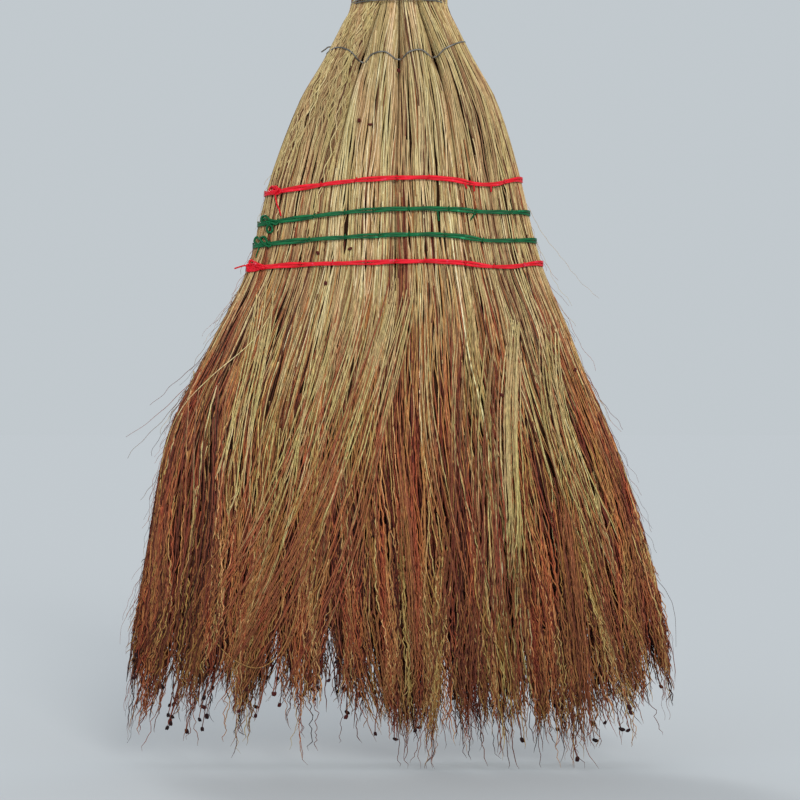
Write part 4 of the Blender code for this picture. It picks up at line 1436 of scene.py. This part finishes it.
# The shoulder wire over the front, left to right: x and height of its crests and of its dips in the grooves
SHOULDER_WIRE = (
    (-0.0500, 0.4905),
    (-0.0430, 0.4932),
    (-0.0340, 0.4905),
    (-0.0244, 0.4822),
    (-0.0185, 0.4878),
    (-0.0095, 0.4896),
    (0.0000, 0.4842),
    (0.0070, 0.4895),
    (0.0155, 0.4908),
    (0.0240, 0.4858),
    (0.0310, 0.4912),
    (0.0390, 0.4956),
    (0.0460, 0.4990),
)

# The shoulder wire's free end, which comes up from the back, goes round the left edge and points down
WIRE_END = (
    (-0.0452, 0.0090, 0.4962),
    (-0.0484, 0.0015, 0.4958),
    (-0.0509, -0.0020, 0.4936),
    (-0.0531, -0.0050, 0.4915),
)


def smooth_through(points, count):
    """A curve through points, each stretch a cubic whose end slopes follow from the points either side."""
    points = np.asarray(points, float)
    before = np.concatenate([points[:1], points[:-1]])
    after = np.concatenate([points[1:], points[-1:]])
    slope = (after - before) / 2
    place = np.linspace(0, len(points) - 1, count)
    i = np.minimum(place.astype(int), len(points) - 2)
    return cubic((place - i)[:, None], points[i], points[i + 1], slope[i], slope[i + 1])


SHOULDER_WIRE_STEPS = 241
# How many steps of the turn are left off for the free end, and how many the free end has
TURN_CUT = 18
WIRE_END_STEPS = 40


def shoulder_wire(bundles, finish):
    """One turn over the four shoulders, pulled into the grooves, with its free end at the left.

    A smooth curve through the crests and dips is laid on the bundles' faces, and then each of its points
    is averaged with its neighbours, three times over.
    """
    front = smooth_through(SHOULDER_WIRE, SHOULDER_WIRE_STEPS)
    x = np.concatenate([front[:, 0], front[::-1, 0]])
    z = np.concatenate([front[:, 1], front[::-1, 1] + 0.0004])
    side = np.where(np.arange(len(x)) < len(front), -1.0, 1.0)
    width = half_width(z)
    x = np.clip(x, -width, width)
    depth = face_depth(x, z)
    for bundle in bundles:
        left, right = bundle.edges(z)
        inside = (x >= left) & (x <= right)
        share = np.clip(2 * (x - left) / (right - left) - 1, -1, 1)
        depth = np.where(inside, bundle.surface(share, z)[1], depth)
    # The wire bridges the deepest part of each groove
    bridge = 0.55 * half_depth(z) * (np.abs(x) < 0.9 * width)
    depth = np.maximum(depth, bridge) + 0.0006
    out = np.where(np.abs(x) > 0.985 * width, 1.012, 1.0)
    path = xyz(x * out, side * depth, z)[:-TURN_CUT]
    for _ in range(3):
        path[1:-1] = (path[:-2] + 2 * path[1:-1] + path[2:]) / 4
    free_end = smooth_through(np.concatenate([path[-1:], WIRE_END]), WIRE_END_STEPS)[1:]
    put_wire("shoulder_wire_strand", np.concatenate([path, free_end]), "shoulder_wire", finish)


TWINE_HALF_HEIGHT = 0.00086
TWINE_PITCH = 0.00145
TWINE_OFFSET = 0.0013
TWINE_RINGS = 720
STITCH_RADIUS = 0.00048
STITCH_RINGS = 60
STITCH_HALF_HEIGHT = 0.00175


def band_section(sides, thick, high):
    """A flat band's section: an oval squared off by taking the square roots of cosine and sine."""
    turn = 2 * np.pi * (np.arange(sides) + 0.5) / sides
    across = thick * signed_power(np.cos(turn), 0.5)
    return np.stack([across, high * signed_power(np.sin(turn), 0.5)], axis=1)


def twine_row(name, finish, slot):
    """Two turns of film twine that read as one flat ribbon, drawn in at each stitch.

    Slow sines along a belt move it up and down and change its size, and a bell at each stitch narrows it.
    """
    path = belt(lambda x: row_height(name, x), TWINE_PITCH, TWINE_OFFSET, TWINE_RINGS)
    near = np.abs(path[:, :1] - row_stitches(name)).min(axis=1)
    pinch = bell(near, 0, STITCH_REACH)
    run = np.arange(len(path))
    path[:, 2] += 0.00022 * np.sin(run * 0.13 + 1) + 0.00015 * np.sin(run * 0.31)
    path[:, :2] *= (1 - 0.0006 * pinch / np.maximum(np.hypot(path[:, 0], path[:, 1]), 0.01))[:, None]
    uneven = 0.07 * np.sin(run * 0.26) + 0.06 * np.sin(run * 0.071)
    radii = TWINE_HALF_HEIGHT * (1 - 0.28 * pinch + uneven)
    section = band_section(12, 0.50, 1.0)
    piece = strands(f"band_{name}", path[None], radii[None], section=section, axis=ALONG_Z)
    ride(piece, slot, finish, f"twine_{name}")


def stitches(name, finish, slot):
    """Loops of twine through the head and over both bands of a row, each leaning a little.

    A loop is an oval squared off by powers of its sine and cosine.
    """
    chance = np.random.default_rng(520 + len(name))
    x = row_stitches(name)[:, None]
    turn = np.linspace(0, 2 * np.pi, STITCH_RINGS)[None] + np.pi / 2
    z = row_height(name, x)
    deep = face_depth(x, z) + TWINE_OFFSET + 0.0009
    lift = STITCH_HALF_HEIGHT * signed_power(np.sin(turn), 0.7)
    lean = chance.uniform(-0.35, 0.55, x.shape)
    paths = xyz(x + lean * lift, -deep * signed_power(np.cos(turn), 0.25), z + lift)
    piece = strands(f"stitches_{name}", paths, STITCH_RADIUS, section=ring(6), axis=ALONG_X)
    ride(piece, slot, finish, f"lacing_{name}")


# Knots at the left end of each row: millimetres right, up and out from where the row starts on the front
KNOTS = {
    "red_upper": (
        (
            (4, 0, 0.2), (0.5, 0.6, 1.0), (-2.5, 2.6, 1.4), (-4.4, 3.6, 0.8), (-6.2, 1.8, 0.4),
            (-5.6, -0.8, 1.0), (-2.8, -1.6, 1.8), (-0.4, 1.2, 2.2), (-1.8, 3.4, 1.4), (-3.6, 1.0, 0.4),
            (-1.8, -1.8, 0.8), (1.6, -0.8, 1.8), (0.6, 1.6, 1.4), (-1.2, 0.2, 0.6),
        ),
        (
            (-1.6, -0.6, 1.4), (-1.8, -4.0, 1.2), (-0.6, -9.0, 0.9), (1.2, -13.5, 0.7), (2.0, -17.0, 0.6),
        ),
    ),
    "green_upper": (
        (
            (5, 0.4, 0.2), (1.0, 0.8, 1.2), (-2.8, 1.6, 1.8), (-6.2, 4.6, 1.0), (-9.2, 3.6, 0.4),
            (-8.8, 0.4, 0.8), (-5.2, -0.8, 1.8), (-1.6, -3.0, 1.8), (-1.4, -6.2, 0.6), (-4.2, -6.8, 0.4),
            (-5.0, -3.8, 1.2), (-2.2, -0.6, 2.2), (1.2, -1.6, 1.4), (3.2, 0.6, 0.8),
        ),
        (
            (-6.8, 1.0, 1.6), (-8.6, -0.8, 1.2), (-7.6, 2.6, 1.6), (-5.4, 1.4, 1.9), (-6.6, -1.2, 1.4),
        ),
    ),
    "green_lower": (
        (
            (5, 0.2, 0.2), (1.2, -0.6, 1.4), (-2.4, 0.6, 1.8), (-4.4, 4.4, 1.0), (-7.4, 4.6, 0.6),
            (-7.6, 1.2, 1.2), (-10.0, 0.2, 1.0), (-12.6, 2.0, 0.5), (-11.2, 4.8, 0.6), (-8.2, 3.4, 1.6),
            (-4.8, -0.4, 2.0), (-1.2, -1.8, 1.6), (1.0, 1.0, 1.2),
        ),
        (
            (-8.4, -0.2, 1.4), (-9.0, -3.2, 1.0), (-10.4, -6.6, 0.7), (-11.0, -9.2, 0.6),
        ),
    ),
    "red_lower": (
        (
            (5, 0.2, 0.2), (0.8, 0.2, 1.2), (-4.6, 1.8, 1.8), (-10.4, 4.8, 0.9), (-11.6, 2.4, 0.6),
            (-5.8, 0.4, 2.2), (-0.6, -1.0, 1.6), (-5.4, -1.0, 1.4), (-12.4, -0.4, 0.7), (-13.6, 1.6, 0.5),
            (-7.2, 2.0, 2.6), (-1.6, 0.4, 2.0), (-6.6, -2.2, 0.9), (-13.0, -2.2, 0.6), (-10.0, 1.0, 1.5),
        ),
        (
            (-12.0, 0.6, 1.0), (-16.0, 1.2, 0.8), (-20.0, 0.4, 0.6), (-24.5, -0.8, 0.5),
        ),
    ),
}
KNOT_RADIUS = 0.00085
TAIL_RADIUS = 0.00055
THREAD_END_RADIUS = 0.0006
CORD_STEPS = 150
# Where along a row the height of its knot is read, as a share of the half width
KNOT_SHARE = -0.95
# How near to the head's edge a knot's cord leaves the face
EDGE_MARGIN = 0.002
# How far in from the left edge each knot's band starts
KNOT_PLACES = {"red_upper": 0.0085, "green_upper": 0.0105, "green_lower": 0.0120, "red_lower": 0.0125}

# Loose thread ends on the front: row, x, and how far they go right and down
THREAD_ENDS = {
    "red_lower": (),
    "green_lower": (),
    "green_upper": ((0.0560, -0.0042, -0.0058), (0.0288, 0.0012, -0.0085)),
    "red_upper": ((0.0462, 0.0030, -0.0048), (0.0538, 0.0004, -0.0052), (0.0655, 0.0002, -0.0050)),
}


def front_point(x, z, out):
    """Points in front of the head's face by so many metres."""
    return xyz(x, -(face_depth(x, z) + out), z)


def knot(name, finish, slot):
    """A knot at the left end of a row with its loops and tail, and the loose thread ends of that row.

    Each cord is a smooth curve through its points, laid on the face, and goes straight out past its edge.
    """
    z0 = row_height(name, KNOT_SHARE * half_width(ROWS[name][0]))
    x0 = -(half_width(z0) - KNOT_PLACES[name])
    paths, radii = [], []
    for cord, radius in zip(KNOTS[name], (KNOT_RADIUS, TAIL_RADIUS)):
        right, up, out = smooth_through(cord, CORD_STEPS).T / 1000
        z = z0 + up
        x = x0 + right
        edge = -half_width(z) + EDGE_MARGIN
        path = front_point(np.maximum(x, edge), z, out)
        path[:, 0] += 0.8 * np.minimum(x - edge, 0.0)
        paths.append(path)
        radii.append(radius)
    q = np.linspace(0, 1, CORD_STEPS)
    for x, right, down in THREAD_ENDS[name]:
        z = row_height(name, x) + down * q
        paths.append(front_point(x + right * q, z, 0.0008 + 0.0008 * np.sin(np.pi * q)))
        radii.append(THREAD_END_RADIUS)
    piece = strands(f"tied_{name}", np.stack(paths), np.array(radii)[:, None], section=ROUND)
    ride(piece, slot, finish, f"knot_{name}")


# Stage


def camera():
    """The photograph's straight view of the head."""
    data = bpy.data.cameras.new("camera")
    data.sensor_width = SENSOR
    data.lens = SENSOR * VIEW_DISTANCE / VIEW_SPAN
    made = bpy.data.objects.new("camera", data)
    bpy.context.scene.collection.objects.link(made)
    made.location = (VIEW_RIGHT, -VIEW_DISTANCE, VIEW_HEIGHT)
    made.rotation_euler = (math.pi / 2, 0, 0)
    bpy.context.scene.camera = made


FLOOR_Z = -0.0005
STAGE_REACH = 15.0
FLOOR_COLOUR = rgb(0.499, 0.531, 0.549)
SKY_SHOWN = rgb(0.5365, 0.5825, 0.6145)


def stage():
    """A pale floor."""
    floor = Finish("pale_floor", Roughness=1.0, Specular_IOR_Level=0.0, Base_Color=FLOOR_COLOUR)
    corners = [(-1, -1), (1, -1), (1, 1), (-1, 1)]
    points = np.array([(x * STAGE_REACH, y * STAGE_REACH, FLOOR_Z) for x, y in corners])
    made = put_mesh("floor", points, np.arange(4), np.array([4]), {})
    made.data.materials.append(floor.material)


def sky():
    """Even light from all round. The camera and reflections see a pale sky of the floor's colour instead."""
    world = bpy.data.worlds.new("sky")
    world.use_nodes = True
    tree = world.node_tree
    light = tree.nodes["Background"]
    light.inputs["Color"].default_value = rgb(0.93, 0.96, 1.00)
    light.inputs["Strength"].default_value = 0.78
    shown = add_node(tree, "Background", sockets={"Color": SKY_SHOWN})
    kinds = ("Camera", "Glossy", "Transmission")
    rays = [add_node(tree, "LightPath", output=f"Is {kind} Ray") for kind in kinds]
    seen = Signal(tree, rays[0]) + rays[1] + rays[2]
    both = add_node(tree, "MixShader", sockets={0: seen.clamp(), 1: light.outputs[0], 2: shown})
    plug(tree, tree.nodes["World Output"].inputs["Surface"], both)
    bpy.context.scene.world = world


def sun(name, place, strength, softness, colour=(1, 1, 1)):
    """Even light from the direction of a place, with its softness as the angle of its disc."""
    data = bpy.data.lights.new(name, "SUN")
    data.energy = strength
    data.angle = softness
    data.color = colour
    made = bpy.data.objects.new(name, data)
    bpy.context.scene.collection.objects.link(made)
    made.location = place
    made.rotation_euler = Vector(place).to_track_quat("Z", "Y").to_euler()


def studio():
    """Soft light from the upper right in front, with a weaker one from behind and an even sky."""
    sky()
    sun("key", (0.8, -3.0, 1.5), strength=1.50, softness=0.30, colour=(1.0, 0.98, 0.95))
    sun("back", (-1.2, 2.6, 1.8), strength=0.90, softness=0.35)
    bpy.context.scene.view_settings.view_transform = "Standard"


def build():
    """The view, the stage and the light, then every piece of the broom."""
    camera()
    stage()
    studio()
    bundles = [Bundle(index) for index in range(len(BUNDLES))]
    straw = straw_finish()
    hidden = painted_shade_finish()
    stem = stem_finish()
    wire = wire_finish()
    for bundle in bundles:
        wisps = {side: Wisps(700 + 10 * bundle.index + int(side)) for side in SIDES}
        painted_shade_core(bundle, hidden)
        long_straws(bundle, wisps, straw)
        bristles(bundle, wisps, straw)
        grip_stems(bundle, stem)
    cut_stems(stem, pith_finish())
    crossing_fibres(straw)
    stray_hairs(straw)
    husks(husk_finish(), straw)
    level_wire("neck_wire_turns", NECK_WIRE_Z, "neck_wire", wire, NECK_WIRE_OFFSET)
    for name, z in GRIP_WIRES.items():
        level_wire(f"grip_wire_{name}_turns", z, f"grip_wire_{name}", wire, GRIP_WIRE_OFFSET)
    shoulder_wire(bundles, wire)
    twines = {name: twine_finish(name, *colours) for name, colours in TWINE_COLOURS.items()}
    for name in ROWS:
        slot = name.split("_")[0] + "_twine"
        twine_row(name, twines[slot], slot)
        stitches(name, twines[slot], slot)
        knot(name, twines[slot], slot)


build()
